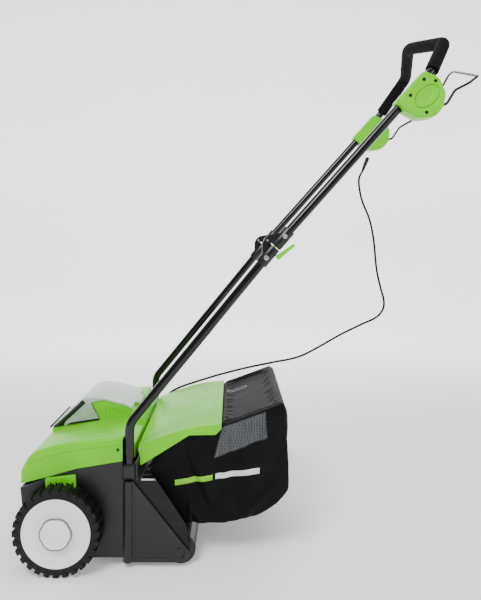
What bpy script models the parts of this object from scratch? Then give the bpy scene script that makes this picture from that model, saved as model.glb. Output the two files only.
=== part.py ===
"""A battery lawn dethatcher: a wheeled deck with a spring-tine rotor, a hood over the motor and battery, a rear
roller, a collection bag and a folding handle.

Metres, Z up. X runs to the rear, Y to the machine's right. Shapes are drawn from the front axle, and the parent
empty moves them so that the origin lies under the middle of the whole machine."""

from math import acos, atan2, cos, degrees, hypot, pi, radians, sin, tan

import bmesh
import bpy
from mathutils import Matrix, Vector

# Overall layout, from the front axle
MACHINE_MIDDLE = 0.4116  # half way between the front of the tyres and the rear of the bail
GAP = 0.0004  # left between pieces that meet

# Front wheels and the cranked axle that sets the working depth
WHEEL_R = 0.090
TYRE_LOW, TYRE_HIGH = 0.221, 0.258  # inner and outer side, from the middle plane
DISC_R = 0.0715
LUGS = 28
AXLE_R = 0.006
CRANK = (0.028, 0.105)  # the crank's pivot, X and Z
CRANK_TURN = 30

# Deck
DECK_Y = 0.2125
WALL = 0.003
SEAM = [(-0.0885, 0.166), (-0.030, 0.1885), (0.030, 0.2055), (0.134, 0.2225)]
DECK_REAR = 0.160
DECK_BOTTOM = 0.018
TRAY_FLOOR = 0.118
CHAMBER_FRONT = 0.046
CHAMBER_ROOF = 0.165
BELT_WALL = 0.180  # partition between the rotor and the belt, on the right

# Rotor and its drive
ROTOR = (0.120, 0.078)
ROTOR_SHAFT_R = 0.008
TINE_REACH = 0.066
TINE_R = 0.0016
TINE_PAIRS = 9
MOTOR = (0.050, 0.207)
MOTOR_R = 0.035
MOTOR_PULLEY_R, ROTOR_PULLEY_R = 0.012, 0.030
BELT_Y = 0.196
BELT_WIDTH = 0.010

# Side panels, roller and bag
PANEL_IN, PANEL_OUT = 0.2129, 0.2185
BOSS_X, BOSS_R = 0.1405, 0.0105
ROLLER = (0.2505, 0.032)
ROLLER_HALF = 0.203
BAG_Y = 0.183
BAG_WALL = 0.0025

# Flap over the bag's mouth
FLAP_HINGE = (0.161, 0.2405)
FLAP_Y = 0.191

# Battery
HUMP_Y = 0.078  # half the lid's width
HUMP_IN = 0.0748  # half the hump's width; the lid's sides pass outside it
LID_HINGE = (0.1315, 0.2915)
BAY = ((-0.030, -0.065, 0.178), (0.114, 0.065, 0.252))

# Handle
TUBE_R = 0.0098
TUBE_Y = 0.205
TUBE_WALL = 0.0013
SOCKET_X = 0.142
SOCKET_HALF = 0.0135
LOWER_BEND = (0.142, 0.299)
LOWER_SLOPE = radians(50.7)
UPPER_SLOPE = radians(48.3)
FOLD = (0.452, 0.6765)  # where the two tubes meet
FOLD_OFFSET = 0.0215  # from the tubes' line forward to the fold's axis
SLEEVE_R = 0.0132
HAND_CORNER = (0.837, 0.140, 1.1335)
HAND_MIDDLE = (0.800, 0.0, 1.168)
FOAM_R = 0.0148
BAIL_PIVOT = (0.789, 0.982)
BAIL_R = 0.003
CABLE_R = 0.0031


def clear_scene():
    for obj in list(bpy.data.objects):
        bpy.data.objects.remove(obj, do_unlink=True)


clear_scene()
PARTS = bpy.data.collections.new("lawn_dethatcher")
CUTTERS = bpy.data.collections.new("cutters")
for collection in (PARTS, CUTTERS):
    bpy.context.scene.collection.children.link(collection)


def plastic(name, colour, roughness=0.4, metallic=0.0):
    material = bpy.data.materials.new(name)
    material.use_nodes = True
    shader = material.node_tree.nodes["Principled BSDF"]
    shader.inputs["Base Color"].default_value = (*colour, 1.0)
    shader.inputs["Roughness"].default_value = roughness
    shader.inputs["Metallic"].default_value = metallic
    return material


GREEN = plastic("lime_abs", (0.36, 0.80, 0.01), 0.25)
BLACK = plastic("black_abs", (0.03, 0.03, 0.03), 0.5)
TUBE = plastic("black_powder_coat", (0.01, 0.01, 0.01), 0.2)
FOAM = plastic("black_foam", (0.012, 0.012, 0.012), 0.9)
STEEL = plastic("steel", (0.6, 0.6, 0.6), 0.3, 1.0)
RUBBER = plastic("black_rubber", (0.02, 0.02, 0.02), 0.75)
WHITE = plastic("white_plastic", (0.85, 0.85, 0.86), 0.35)
CLEAR = plastic("clear_plastic", (0.75, 0.8, 0.78), 0.1)
FABRIC = plastic("black_fabric", (0.02, 0.02, 0.022), 0.85)
GREY = plastic("grey_plastic", (0.35, 0.36, 0.37), 0.4)


# Tools that make one solid each


def body_frame(name, x=0.0, y=0.0, z=0.0, parent=None):
    """An empty on a joint's axis, which the body's pieces hang from."""
    empty = bpy.data.objects.new(name, None)
    PARTS.objects.link(empty)
    empty.parent = parent
    empty.location = (x, y, z)
    return empty


ROOT = body_frame("dethatcher_origin", x=-MACHINE_MIDDLE)


def place(obj, collection, frame=None):
    """Hangs a piece, drawn from the front axle, on a body's frame."""
    collection.objects.link(obj)
    frame = frame or ROOT
    obj.parent = frame
    if frame is not ROOT:
        obj.matrix_parent_inverse = Matrix.Translation(-frame.location)
    return obj


def part(obj, material, frame=None, smooth=35):
    obj.data.materials.clear()
    obj.data.materials.append(material)
    obj.data.shade_smooth()
    obj.data.set_sharp_from_angle(angle=radians(smooth))
    return place(obj, PARTS, frame)


def cutter(obj):
    obj.hide_render = True
    obj.display_type = "WIRE"
    return place(obj, CUTTERS)


def solid(name, build):
    mesh = bpy.data.meshes.new(name)
    bm = bmesh.new()
    build(bm)
    bm.to_mesh(mesh)
    bm.free()
    return bpy.data.objects.new(name, mesh)


def block(name, low, high):
    size = Vector(high) - Vector(low)
    middle = (Vector(high) + Vector(low)) / 2
    matrix = Matrix.Translation(middle) @ Matrix.Diagonal((*size, 1.0))
    return solid(name, lambda bm: bmesh.ops.create_cube(bm, size=1.0, matrix=matrix))


def rod(name, start, end, radius, sides=16, tip=None):
    start, end = Vector(start), Vector(end)
    along = end - start
    turn = along.to_track_quat("Z", "Y").to_matrix().to_4x4()
    matrix = Matrix.Translation((start + end) / 2) @ turn

    def build(bm):
        bmesh.ops.create_cone(
            bm, cap_ends=True, segments=sides, radius1=radius, radius2=radius if tip is None else tip,
            depth=along.length, matrix=matrix,
        )

    return solid(name, build)


def cross_rod(name, at, low, high, radius, sides=16):
    """A rod along Y at a point given in X and Z."""
    return rod(name, (at[0], low, at[1]), (at[0], high, at[1]), radius, sides)


def as_mesh(guide, flat=False):
    """A curve's shape as a closed mesh of its own; the curve is removed. A flat outline keeps whole faces."""
    bpy.context.scene.collection.objects.link(guide)
    bpy.context.view_layer.update()
    shape = guide.evaluated_get(bpy.context.evaluated_depsgraph_get())
    mesh = bpy.data.meshes.new_from_object(shape)
    mesh.transform(guide.matrix_world)
    name = guide.name
    bpy.data.objects.remove(guide, do_unlink=True)
    bm = bmesh.new()
    bm.from_mesh(mesh)
    bmesh.ops.remove_doubles(bm, verts=bm.verts, dist=1e-6)
    bmesh.ops.recalc_face_normals(bm, faces=bm.faces)
    if flat:
        bmesh.ops.dissolve_limit(bm, angle_limit=radians(0.2), verts=bm.verts, edges=bm.edges)
    bm.to_mesh(mesh)
    bm.free()
    obj = bpy.data.objects.new(name, mesh)
    obj.name = name
    return obj


def prism(name, outline, low, high):
    """A flat outline in X and Z, filling Y from low to high."""
    curve = bpy.data.curves.new(name, "CURVE")
    curve.dimensions = "2D"
    curve.fill_mode = "BOTH"
    curve.extrude = (high - low) / 2
    spline = curve.splines.new("POLY")
    spline.points.add(len(outline) - 1)
    for point, (x, z) in zip(spline.points, outline):
        point.co = (x, z, 0.0, 1.0)
    spline.use_cyclic_u = True
    guide = bpy.data.objects.new(name, curve)
    guide.rotation_euler.x = pi / 2
    guide.location.y = (low + high) / 2
    return as_mesh(guide, flat=True)


def rounded(outline, radius, steps=4):
    """The outline with each corner made an arc; radius is one value, or one for each corner."""
    radii = radius if isinstance(radius, list) else [radius] * len(outline)
    result = []
    for i, (corner, r) in enumerate(zip(outline, radii)):
        here = Vector(corner)
        back = (Vector(outline[i - 1]) - here).normalized()
        ahead = (Vector(outline[(i + 1) % len(outline)]) - here).normalized()
        half = acos(max(-1.0, min(1.0, back.dot(ahead)))) / 2
        if r < 1e-5 or half > radians(88):
            result.append(tuple(here))
            continue
        middle = here + (back + ahead).normalized() * r / sin(half)
        first = here + back * r / tan(half) - middle
        last = here + ahead * r / tan(half) - middle
        turn = first.angle_signed(last)
        for k in range(steps + 1):
            result.append(tuple(middle + Matrix.Rotation(-turn * k / steps, 2) @ first))
    return result


def shift(points, dx=0.0, dz=0.0):
    return [(x + dx, z + dz) for x, z in points]


def smooth_route(corners, radii, step):
    """A route through corner points in space, with each inner corner made an arc."""
    route = [Vector(corners[0])]
    for before, here, after, r in zip(corners, corners[1:], corners[2:], radii):
        here = Vector(here)
        back = (Vector(before) - here).normalized()
        ahead = (Vector(after) - here).normalized()
        half = back.angle(ahead) / 2
        middle = here + (back + ahead).normalized() * r / sin(half)
        first = here + back * r / tan(half) - middle
        last = here + ahead * r / tan(half) - middle
        count = max(3, round(first.angle(last) * r / step))
        for k in range(count + 1):
            route.append(middle + first.normalized().slerp(last.normalized(), k / count) * r)
    route.append(Vector(corners[-1]))
    return route


def flowing_route(points, count):
    """Evenly spread points on a smooth curve through the points given."""
    points = [Vector(p) for p in points]
    ends = [2 * points[0] - points[1], *points, 2 * points[-1] - points[-2]]
    fine = []
    for a, b, c, d in zip(ends, ends[1:], ends[2:], ends[3:]):
        for k in range(24):
            t = k / 24
            fine.append(((2 * b) + (c - a) * t + (2 * a - 5 * b + 4 * c - d) * t**2
                         + (3 * b - a - 3 * c + d) * t**3) / 2)
    fine.append(points[-1])
    lengths = [0.0]
    for a, b in zip(fine, fine[1:]):
        lengths.append(lengths[-1] + (b - a).length)
    route, k = [], 0
    for i in range(count):
        want = lengths[-1] * i / (count - 1)
        while k < len(lengths) - 2 and lengths[k + 1] < want:
            k += 1
        route.append(fine[k].lerp(fine[k + 1], (want - lengths[k]) / (lengths[k + 1] - lengths[k])))
    return route


def wire(name, route, radius, resolution=2, capped=True, others=()):
    curve = bpy.data.curves.new(name, "CURVE")
    curve.dimensions = "3D"
    curve.bevel_depth = radius
    curve.bevel_resolution = resolution
    curve.use_fill_caps = capped
    for each in (route, *others):
        spline = curve.splines.new("POLY")
        spline.points.add(len(each) - 1)
        for point, at in zip(spline.points, each):
            point.co = (*at, 1.0)
    return as_mesh(bpy.data.objects.new(name, curve))


def hollow(obj, wall):
    """Gives an open skin a wall, inwards."""
    modifier = obj.modifiers.new("wall", "SOLIDIFY")
    modifier.thickness = wall
    modifier.offset = -1.0
    modifier.use_even_offset = True
    return obj


def turned(name, profile, at, side=1, steps=32):
    """A profile of radius and height, turned about Y; its height runs outwards to the side given (+1 or -1)."""

    def build(bm):
        ring = [bm.verts.new((r, 0.0, h)) for r, h in profile]
        for a, b in zip(ring, ring[1:] + ring[:1]):
            bm.edges.new((a, b))

    obj = solid(name, build)
    screw = obj.modifiers.new("turn", "SCREW")
    screw.steps = screw.render_steps = steps
    screw.use_merge_vertices = True
    screw.merge_threshold = 1e-5
    obj.rotation_euler.x = -side * pi / 2
    obj.location = (at[0], 0.0, at[1])
    return obj


def soften(obj, width, segments=2, angle=30):
    modifier = obj.modifiers.new("soft_edges", "BEVEL")
    modifier.width = width
    modifier.segments = segments
    modifier.limit_method = "ANGLE"
    modifier.angle_limit = radians(angle)
    modifier.use_clamp_overlap = True
    return obj


def combine(obj, other, operation="DIFFERENCE"):
    modifier = obj.modifiers.new(operation.lower(), "BOOLEAN")
    modifier.object = cutter(other)
    modifier.operation = operation
    modifier.solver = "EXACT"
    return obj


def join(obj, *others):
    for other in others:
        combine(obj, other, "UNION")
    return obj


def cut(obj, *others):
    for other in others:
        combine(obj, other)
    return obj


SIDES = (("left", -1), ("right", 1))


def span(side, inner, outer):
    """The low and high Y of something between two distances from the middle plane."""
    return sorted((side * inner, side * outer))


# Deck


def deck_housing():
    outline = [
        (-0.084, TRAY_FLOOR), *SEAM, (DECK_REAR, SEAM[-1][1]), (DECK_REAR, DECK_BOTTOM),
        (CHAMBER_FRONT, DECK_BOTTOM), (CHAMBER_FRONT, TRAY_FLOOR),
    ]
    deck = prism("deck_housing", outline, -DECK_Y, DECK_Y)
    inside = DECK_Y - WALL
    above = 0.30
    tray = [
        (-0.081, TRAY_FLOOR + WALL), (CHAMBER_FRONT, TRAY_FLOOR + WALL),
        (CHAMBER_FRONT, CHAMBER_ROOF - 0.025), (CHAMBER_FRONT + 0.028, CHAMBER_ROOF + WALL),
        (DECK_REAR - WALL, CHAMBER_ROOF + WALL), (DECK_REAR - WALL, above), (-0.0855, above), (-0.0855, 0.166),
    ]
    chamber = rounded(
        [(CHAMBER_FRONT + WALL, -0.1), (CHAMBER_FRONT + WALL, CHAMBER_ROOF), (0.3, CHAMBER_ROOF), (0.3, -0.1)],
        [0.0, 0.045, 0.0, 0.0], steps=6,
    )
    belt_bay = [(0.030, above), (0.030, 0.200), (0.078, 0.048), (0.100, 0.036), (0.140, 0.036), (0.155, 0.055),
                (0.155, above)]
    cut(
        deck,
        prism("tray_room", tray, -inside, inside),
        prism("rotor_room", chamber, -inside, BELT_WALL),
        prism("belt_room", belt_bay, BELT_WALL + WALL, inside),
        cross_rod("shaft_hole", ROTOR, BELT_WALL - 0.01, BELT_WALL + 0.01, ROTOR_SHAFT_R + 0.0015, 24),
    )
    for side_name, side in SIDES:
        low, high = span(side, TUBE_Y - SOCKET_HALF - GAP, TUBE_Y + 0.05)
        cut(deck, block(f"socket_notch_{side_name}", (SOCKET_X - SOCKET_HALF - GAP, low, 0.1830),
                        (SOCKET_X + SOCKET_HALF + GAP, high, above)))
    join(deck, block("cable_boss", (DECK_REAR - 0.001, 0.1955, 0.196), (0.1790, DECK_Y, 0.2070)))
    for side_name, side in SIDES:
        low, high = span(side, 0.120, 0.136)
        saddle = block(f"saddle_{side_name}", (CRANK[0] - 0.011, low, CRANK[1] - 0.010),
                       (CRANK[0] + 0.011, high, TRAY_FLOOR + 0.001))
        hole = cross_rod(f"saddle_hole_{side_name}", CRANK, low - 0.01, high + 0.01, AXLE_R + 0.0005, 24)
        join(deck, saddle)
        cut(deck, hole)
    return part(deck, BLACK)


def side_panel(side_name, side):
    outline = rounded(
        [(0.130, 0.010), (0.130, 0.1815), (0.151, 0.1815), (0.272, 0.030), (0.262, 0.010)],
        [0.002, 0.002, 0.004, 0.014, 0.010],
    )
    low, high = span(side, PANEL_IN, PANEL_OUT)
    panel = prism(f"side_panel_{side_name}", outline, low, high)
    boss = rod(f"boss_{side_name}", (BOSS_X, side * (PANEL_IN + 0.001), 0.0102),
               (BOSS_X, side * (PANEL_IN + 0.001), 0.1813), BOSS_R, 20)
    trim = block(f"boss_trim_{side_name}", *zip((0.10, 0.20), sorted((side * 0.15, side * PANEL_IN)),
                                               (-0.01, 0.25)))
    pocket = cross_rod(f"roller_pocket_{side_name}", ROLLER, *span(side, PANEL_IN - 0.01, PANEL_IN + 0.0012),
                       0.010)
    join(panel, boss)
    cut(panel, trim, pocket)
    return part(panel, BLACK)


def handle_socket(side_name, side):
    low, high = span(side, TUBE_Y - SOCKET_HALF, TUBE_Y + SOCKET_HALF)
    socket = block(f"handle_socket_{side_name}", (SOCKET_X - SOCKET_HALF, low, 0.1835),
                   (SOCKET_X + SOCKET_HALF, high, 0.2165))
    soften(socket, 0.005)
    bore = rod(f"socket_bore_{side_name}", (SOCKET_X, side * TUBE_Y, 0.1895), (SOCKET_X, side * TUBE_Y, 0.25),
               TUBE_R + 0.0006, 24)
    cut(socket, bore)
    return part(socket, BLACK)


# Hood and battery


def hood():
    below = [(-0.12, 0.10), *shift(SEAM, dx=-0.0, dz=GAP + 0.0002), (0.20, SEAM[-1][1] + GAP), (0.20, 0.10)]
    below[1] = (-0.12, SEAM[0][1] + GAP)
    crown = rounded(
        [(-0.0895, 0.150), (-0.0885, 0.200), (-0.070, 0.236), (-0.030, 0.251), (0.030, 0.2625), (0.1265, 0.272),
         (0.1510, 0.2510), (0.1510, 0.150)],
        [0.0, 0.025, 0.04, 0.05, 0.05, 0.020, 0.006, 0.0], steps=2,
    )
    inner_crown = [(-0.0865, 0.140), (-0.0855, 0.199), (-0.067, 0.232), (-0.030, 0.247), (0.030, 0.2590),
                   (0.1250, 0.268), (0.1480, 0.2485), (0.1480, 0.140)]
    hump = [(-0.0640, 0.200), (-0.0640, 0.2470), (0.0492, 0.2652), (0.0275, 0.3065), (0.060, 0.3120),
            (0.105, 0.3005), (0.128, 0.2895), (0.146, 0.268), (0.152, 0.245), (0.152, 0.200)]
    inner_hump = [(-0.0590, 0.150), (-0.0590, 0.2445), (0.0530, 0.2620), (0.0320, 0.3040), (0.060, 0.3085),
                  (0.104, 0.2975), (0.126, 0.2870), (0.143, 0.267), (0.149, 0.244), (0.149, 0.150)]
    shell = soften(prism("hood", crown, -DECK_Y, DECK_Y), 0.010, 2, 40)
    join(shell, soften(prism("hump", hump, -HUMP_IN, HUMP_IN), 0.003, 2, 40))
    cut(
        shell,
        soften(prism("hood_room", inner_crown, -DECK_Y + WALL, DECK_Y - WALL), 0.008, 2, 40),
        prism("hump_room", inner_hump, -HUMP_IN + WALL, HUMP_IN - WALL),
        prism("under_seam", below, -0.3, 0.3),
        block("battery_hole", (-0.034, -0.0685, 0.15), (0.1175, 0.0685, 0.40)),
        block("hinge_room", (0.116, -0.0310, 0.2850), (0.138, 0.0310, 0.40)),
    )
    for i, y in enumerate((-0.0345, 0.0345)):
        ear = prism(f"hinge_ear_{i}", [(0.1262, 0.280), (0.1275, 0.2960), (0.1365, 0.2960), (0.143, 0.270)],
                    y - 0.003, y + 0.003)
        join(shell, ear)
        cut(shell, cross_rod(f"ear_hole_{i}", LID_HINGE, y - 0.01, y + 0.01, 0.0023, 12))
    for side_name, side in SIDES:
        low, high = span(side, TUBE_Y - SOCKET_HALF - GAP, 0.3)
        cut(shell, block(f"socket_room_{side_name}", (SOCKET_X - SOCKET_HALF - GAP, low, 0.1),
                         (0.3, high, 0.4)))
    return part(shell, GREEN)


def hood_screw(side_name, side):
    screw = cross_rod(f"hood_screw_{side_name}", (0.1185, 0.2465),
                      *span(side, DECK_Y + GAP, DECK_Y + 0.0024), 0.0032, 16)
    return part(screw, STEEL)


def battery_bay():
    low, high = BAY
    bay = block("battery_bay", low, high)
    cut(bay, block("bay_room", Vector(low) + Vector((0.0025,) * 3), Vector(high) + Vector((-0.0025, -0.0025, 0.1))))
    return part(bay, BLACK)


def battery_pack():
    low, high = Vector(BAY[0]), Vector(BAY[1])
    pack = block("battery_pack", low + Vector((0.0035, 0.0035, 0.0035)),
                 (high.x - 0.0035, high.y - 0.0035, 0.262))
    soften(pack, 0.004)
    grip = block("pack_grip", (0.0, -0.035, 0.258), (0.085, 0.035, 0.272))
    finger = block("pack_finger_room", (0.015, -0.020, 0.262), (0.070, 0.020, 0.28))
    join(pack, soften(grip, 0.003))
    cut(pack, finger)
    return part(pack, BLACK)


def battery_latch():
    latch = block("battery_latch", (0.022, -0.014, 0.2625), (0.062, 0.014, 0.2665))
    return part(soften(latch, 0.0012), GREEN)


def battery_lid(frame):
    edge = [(-0.0645, 0.2475 + 2 * GAP), (0.0080, 0.3150), (0.0300, 0.3205), (0.0600, 0.3170), (0.105, 0.3055),
            (0.1250, 0.2975), (0.1243, 0.2922), (0.105, 0.3013), (0.060, 0.3130), (0.0270, 0.3075),
            (0.0488, 0.2664)]
    room = [(-0.0590, 0.20), (-0.0590, 0.2495), (0.0095, 0.3125), (0.0300, 0.3178), (0.0600, 0.3148), (0.0600, 0.20)]
    lid = prism("battery_lid", rounded(edge, [0.001, 0.012, 0.02, 0.04, 0.04, 0.001, 0, 0, 0, 0, 0.002]),
                -HUMP_Y, HUMP_Y)
    cut(lid, prism("lid_room", room, -HUMP_Y + 0.0025, HUMP_Y - 0.0025))
    knuckle = cross_rod("lid_knuckle", LID_HINGE, -0.030, 0.030, 0.0052, 16)
    strap = prism("lid_strap", [(0.118, 0.3000), (0.1245, 0.2972), (0.1325, 0.2965), (0.1305, 0.2925), (0.118, 0.2965)],
                  -0.030, 0.030)
    join(lid, strap, knuckle)
    cut(lid, cross_rod("lid_bore", LID_HINGE, -0.05, 0.05, 0.0023, 12))
    return part(lid, CLEAR, frame)


def lid_seal(frame):
    """The dark bead along the lid's front edge."""
    seal = cross_rod("lid_front_seal", (-0.0672, 0.2505), -HUMP_Y, HUMP_Y, 0.0026, 12)
    return part(seal, RUBBER, frame)


def motor_drive(frame):
    motor = cross_rod("motor", MOTOR, 0.0805, 0.1760, MOTOR_R, 32)
    soften(motor, 0.002, 1)
    cut(motor, cross_rod("motor_bore", MOTOR, 0.16, 0.18, 0.0045, 16))
    part(motor, STEEL)
    pulley = cross_rod("motor_pulley", MOTOR, BELT_Y - 0.007, BELT_Y + 0.007, MOTOR_PULLEY_R, 20)
    join(pulley, cross_rod("motor_shaft", MOTOR, 0.162, BELT_Y, 0.004, 16))
    groove(pulley, MOTOR, MOTOR_PULLEY_R)
    part(pulley, STEEL, frame)


def groove(pulley, at, radius):
    """The belt's seat, turned into a pulley."""
    width = BELT_WIDTH / 2 + GAP
    ring = [(radius + 0.002, width), (radius + 0.002, -width), (radius - 0.0035, -width), (radius - 0.0035, width)]
    tool = turned("belt_seat", ring, at, 1, 20)
    tool.location.y = BELT_Y
    return cut(pulley, tool)


def belt_outline(extra):
    """The line round both pulleys, at the seats' radius plus extra."""
    first, second = Vector(MOTOR), Vector(ROTOR)
    r1, r2 = MOTOR_PULLEY_R - 0.0035 + extra, ROTOR_PULLEY_R - 0.0035 + extra
    along = second - first
    lean = acos((r1 - r2) / along.length)
    heading = atan2(along.y, along.x)
    points = []
    for centre, r, start, end in ((first, r1, heading + lean, heading + 2 * pi - lean),
                                  (second, r2, heading - lean, heading + lean)):
        for k in range(9):
            a = start + (end - start) * k / 8
            points.append((centre.x + r * cos(a), centre.y + r * sin(a)))
    return points


def drive_belt():
    low, high = BELT_Y - BELT_WIDTH / 2 + GAP, BELT_Y + BELT_WIDTH / 2 - GAP
    belt = prism("drive_belt", belt_outline(0.0033), low, high)
    cut(belt, prism("belt_inside", belt_outline(0.0006), low - 0.01, high + 0.01))
    return part(belt, RUBBER)


def controller():
    box = soften(block("motor_controller", (-0.030, -0.175, 0.186), (0.080, -0.090, 0.222)), 0.002, 1)
    return part(box, BLACK)


# Rotor


def tine_rotor(frame):
    """A steel shaft with spring tines in pairs, each pair a sixth of a turn on from the last."""
    rotor = cross_rod("tine_rotor", ROTOR, -0.2065, 0.2045, ROTOR_SHAFT_R, 16)
    routes = [spring_tine(-0.178 + i * 0.0405, i * radians(60) + k * pi) for i in range(TINE_PAIRS) for k in (0, 1)]
    join(rotor, wire("spring_tines", routes[0], TINE_R, 1, others=routes[1:]))
    part(rotor, STEEL, frame)
    pulley = cross_rod("rotor_pulley", ROTOR, BELT_Y - 0.007, BELT_Y + 0.007, ROTOR_PULLEY_R, 20)
    groove(pulley, ROTOR, ROTOR_PULLEY_R)
    cut(pulley, cross_rod("pulley_bore", ROTOR, 0.15, 0.25, ROTOR_SHAFT_R + 0.0004, 16))
    part(pulley, STEEL, frame)


def spring_tine(y, angle):
    """A tine's route out of the shaft, its tip bent back."""
    reach = [(0.0052, 0.0), (0.021, 0.0), (0.048, 0.004), (TINE_REACH - 0.001, -0.010)]
    route = []
    for out, back in reach:
        x = ROTOR[0] + out * cos(angle) - back * sin(angle)
        z = ROTOR[1] + out * sin(angle) + back * cos(angle)
        route.append((x, y + out * 0.06, z))
    return route


def rotor_bearings():
    for name, low, high in (("rotor_bearing_left", -DECK_Y + WALL + GAP, -0.197),
                            ("rotor_bearing_right", 0.170, BELT_WALL - GAP)):
        bearing = cross_rod(name, ROTOR, low, high, 0.017, 24)
        cut(bearing, cross_rod(f"{name}_bore", ROTOR, -0.2090 if low < 0 else low - 0.01, high + 0.01,
                               ROTOR_SHAFT_R + 0.0003, 24))
        part(bearing, BLACK)


# Front axle, wheels and roller


def depth_axle(frame):
    stub, main = 0.2540, 0.186
    corners = [(0.0, -stub, WHEEL_R), (0.0, -0.205, WHEEL_R), (CRANK[0], -main, CRANK[1]),
               (CRANK[0], main, CRANK[1]), (0.0, 0.205, WHEEL_R), (0.0, stub, WHEEL_R)]
    axle = wire("crank_axle", smooth_route(corners, [0.008] * 4, 0.004), AXLE_R, 2)
    part(axle, STEEL, frame)
    arm = rounded([(-0.011, 0.078), (-0.012, 0.150), (-0.033, 0.170), (-0.034, 0.188), (0.030, 0.1955),
                   (0.031, 0.170), (0.012, 0.150), (0.012, 0.078)],
                  [0.008, 0.01, 0.002, 0.003, 0.003, 0.002, 0.01, 0.008])
    lever = prism("depth_lever", arm, -0.2190, -0.2140)
    for i in range(5):
        x = -0.024 + i * 0.0115
        cut(lever, block(f"lever_slot_{i}", (x, -0.23, 0.160), (x + 0.004, -0.20, 0.1795)))
    cut(lever, cross_rod("lever_bore", (0.0, WHEEL_R), -0.23, -0.20, AXLE_R + 0.0005, 24))
    part(lever, GREEN, frame)


def lug_outline():
    """A tyre's outline with square lugs; one lug points straight down and rests flat on the ground."""
    step = 2 * pi / LUGS
    tip, root = step * 0.31, step * 0.36
    top = WHEEL_R / cos(tip)
    points = []
    for i in range(LUGS):
        middle = -pi / 2 + i * step
        for r, a in ((top - 0.004, middle - root), (top, middle - tip), (top, middle + tip),
                     (top - 0.004, middle + root)):
            points.append((r * cos(a), WHEEL_R + r * sin(a)))
    return points


def wheel(side_name, side, frame):
    axle = (0.0, WHEEL_R)
    tyre = prism(f"tyre_{side_name}", lug_outline(), *span(side, TYRE_LOW, TYRE_HIGH))
    cut(tyre, cross_rod(f"tyre_bore_{side_name}", axle, *span(side, 0.2, 0.3), DISC_R + 0.0005, 28))
    part(tyre, RUBBER, frame)
    disc = [(0.0066, 0.2535), (0.033, 0.2535), (0.040, 0.2500), (0.064, 0.2550),
            (DISC_R, 0.2575), (DISC_R, 0.2215), (0.067, 0.2215), (0.066, 0.2480), (0.016, 0.2465), (0.013, 0.2230),
            (0.0066, 0.2230)]
    part(turned(f"wheel_disc_{side_name}", disc, axle, side, 28), WHITE, frame)
    cap = []
    for i in range(36):
        a = 2 * pi * i / 36
        r = 0.0325 + 0.0015 * abs(cos(3 * a)) ** 0.5
        cap.append((r * cos(a), WHEEL_R + r * sin(a)))
    part(prism(f"hub_cap_{side_name}", cap, *span(side, 0.2562, 0.2610)), WHITE, frame)


def rear_roller(frame):
    radius = ROLLER[1] / cos(pi / 32)
    roller = cross_rod("rear_roller", ROLLER, -ROLLER_HALF, ROLLER_HALF, radius, 32)
    cut(roller, cross_rod("roller_bore", ROLLER, -0.3, 0.3, 0.0064, 16))
    roller.data.transform(Matrix.Translation(Vector((ROLLER[0], 0, ROLLER[1]))) @ Matrix.Rotation(pi / 32, 4, "Y")
                          @ Matrix.Translation(-Vector((ROLLER[0], 0, ROLLER[1]))))
    part(roller, BLACK, frame)
    part(cross_rod("roller_axle", ROLLER, -0.2134, 0.2134, 0.0058, 16), STEEL)


# Flap and bag


def discharge_flap(frame):
    top = [(0.158, 0.2475), (0.175, 0.2545), (0.213, 0.2680), (0.252, 0.2800), (0.290, 0.2885), (0.338, 0.2935)]
    skirt = [(0.338, 0.2830), (0.325, 0.2700), (0.268, 0.2690), (0.1645, 0.2045), (0.1612, 0.2065),
             (0.1612, 0.2240), (0.1570, 0.2360)]
    under = [(0.345, 0.2905), (0.290, 0.2855), (0.252, 0.2770), (0.213, 0.2650), (0.176, 0.2518), (0.1685, 0.2480),
             (0.1685, 0.15), (0.345, 0.15)]
    flap = prism("discharge_flap", top + skirt, -FLAP_Y, FLAP_Y)
    cut(flap, prism("flap_room", under, -FLAP_Y + 0.0032, FLAP_Y - 0.0032),
        block("flap_front_room", (0.10, -FLAP_Y + 0.0032, 0.10), (0.1695, FLAP_Y - 0.0032, 0.2360)))
    cut(flap, cross_rod("flap_bore", FLAP_HINGE, -0.3, 0.3, 0.0027, 16))
    part(flap, GREEN, frame)
    part(cross_rod("flap_hinge_rod", FLAP_HINGE, -0.1905, 0.1905, 0.0022, 12), STEEL)


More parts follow.
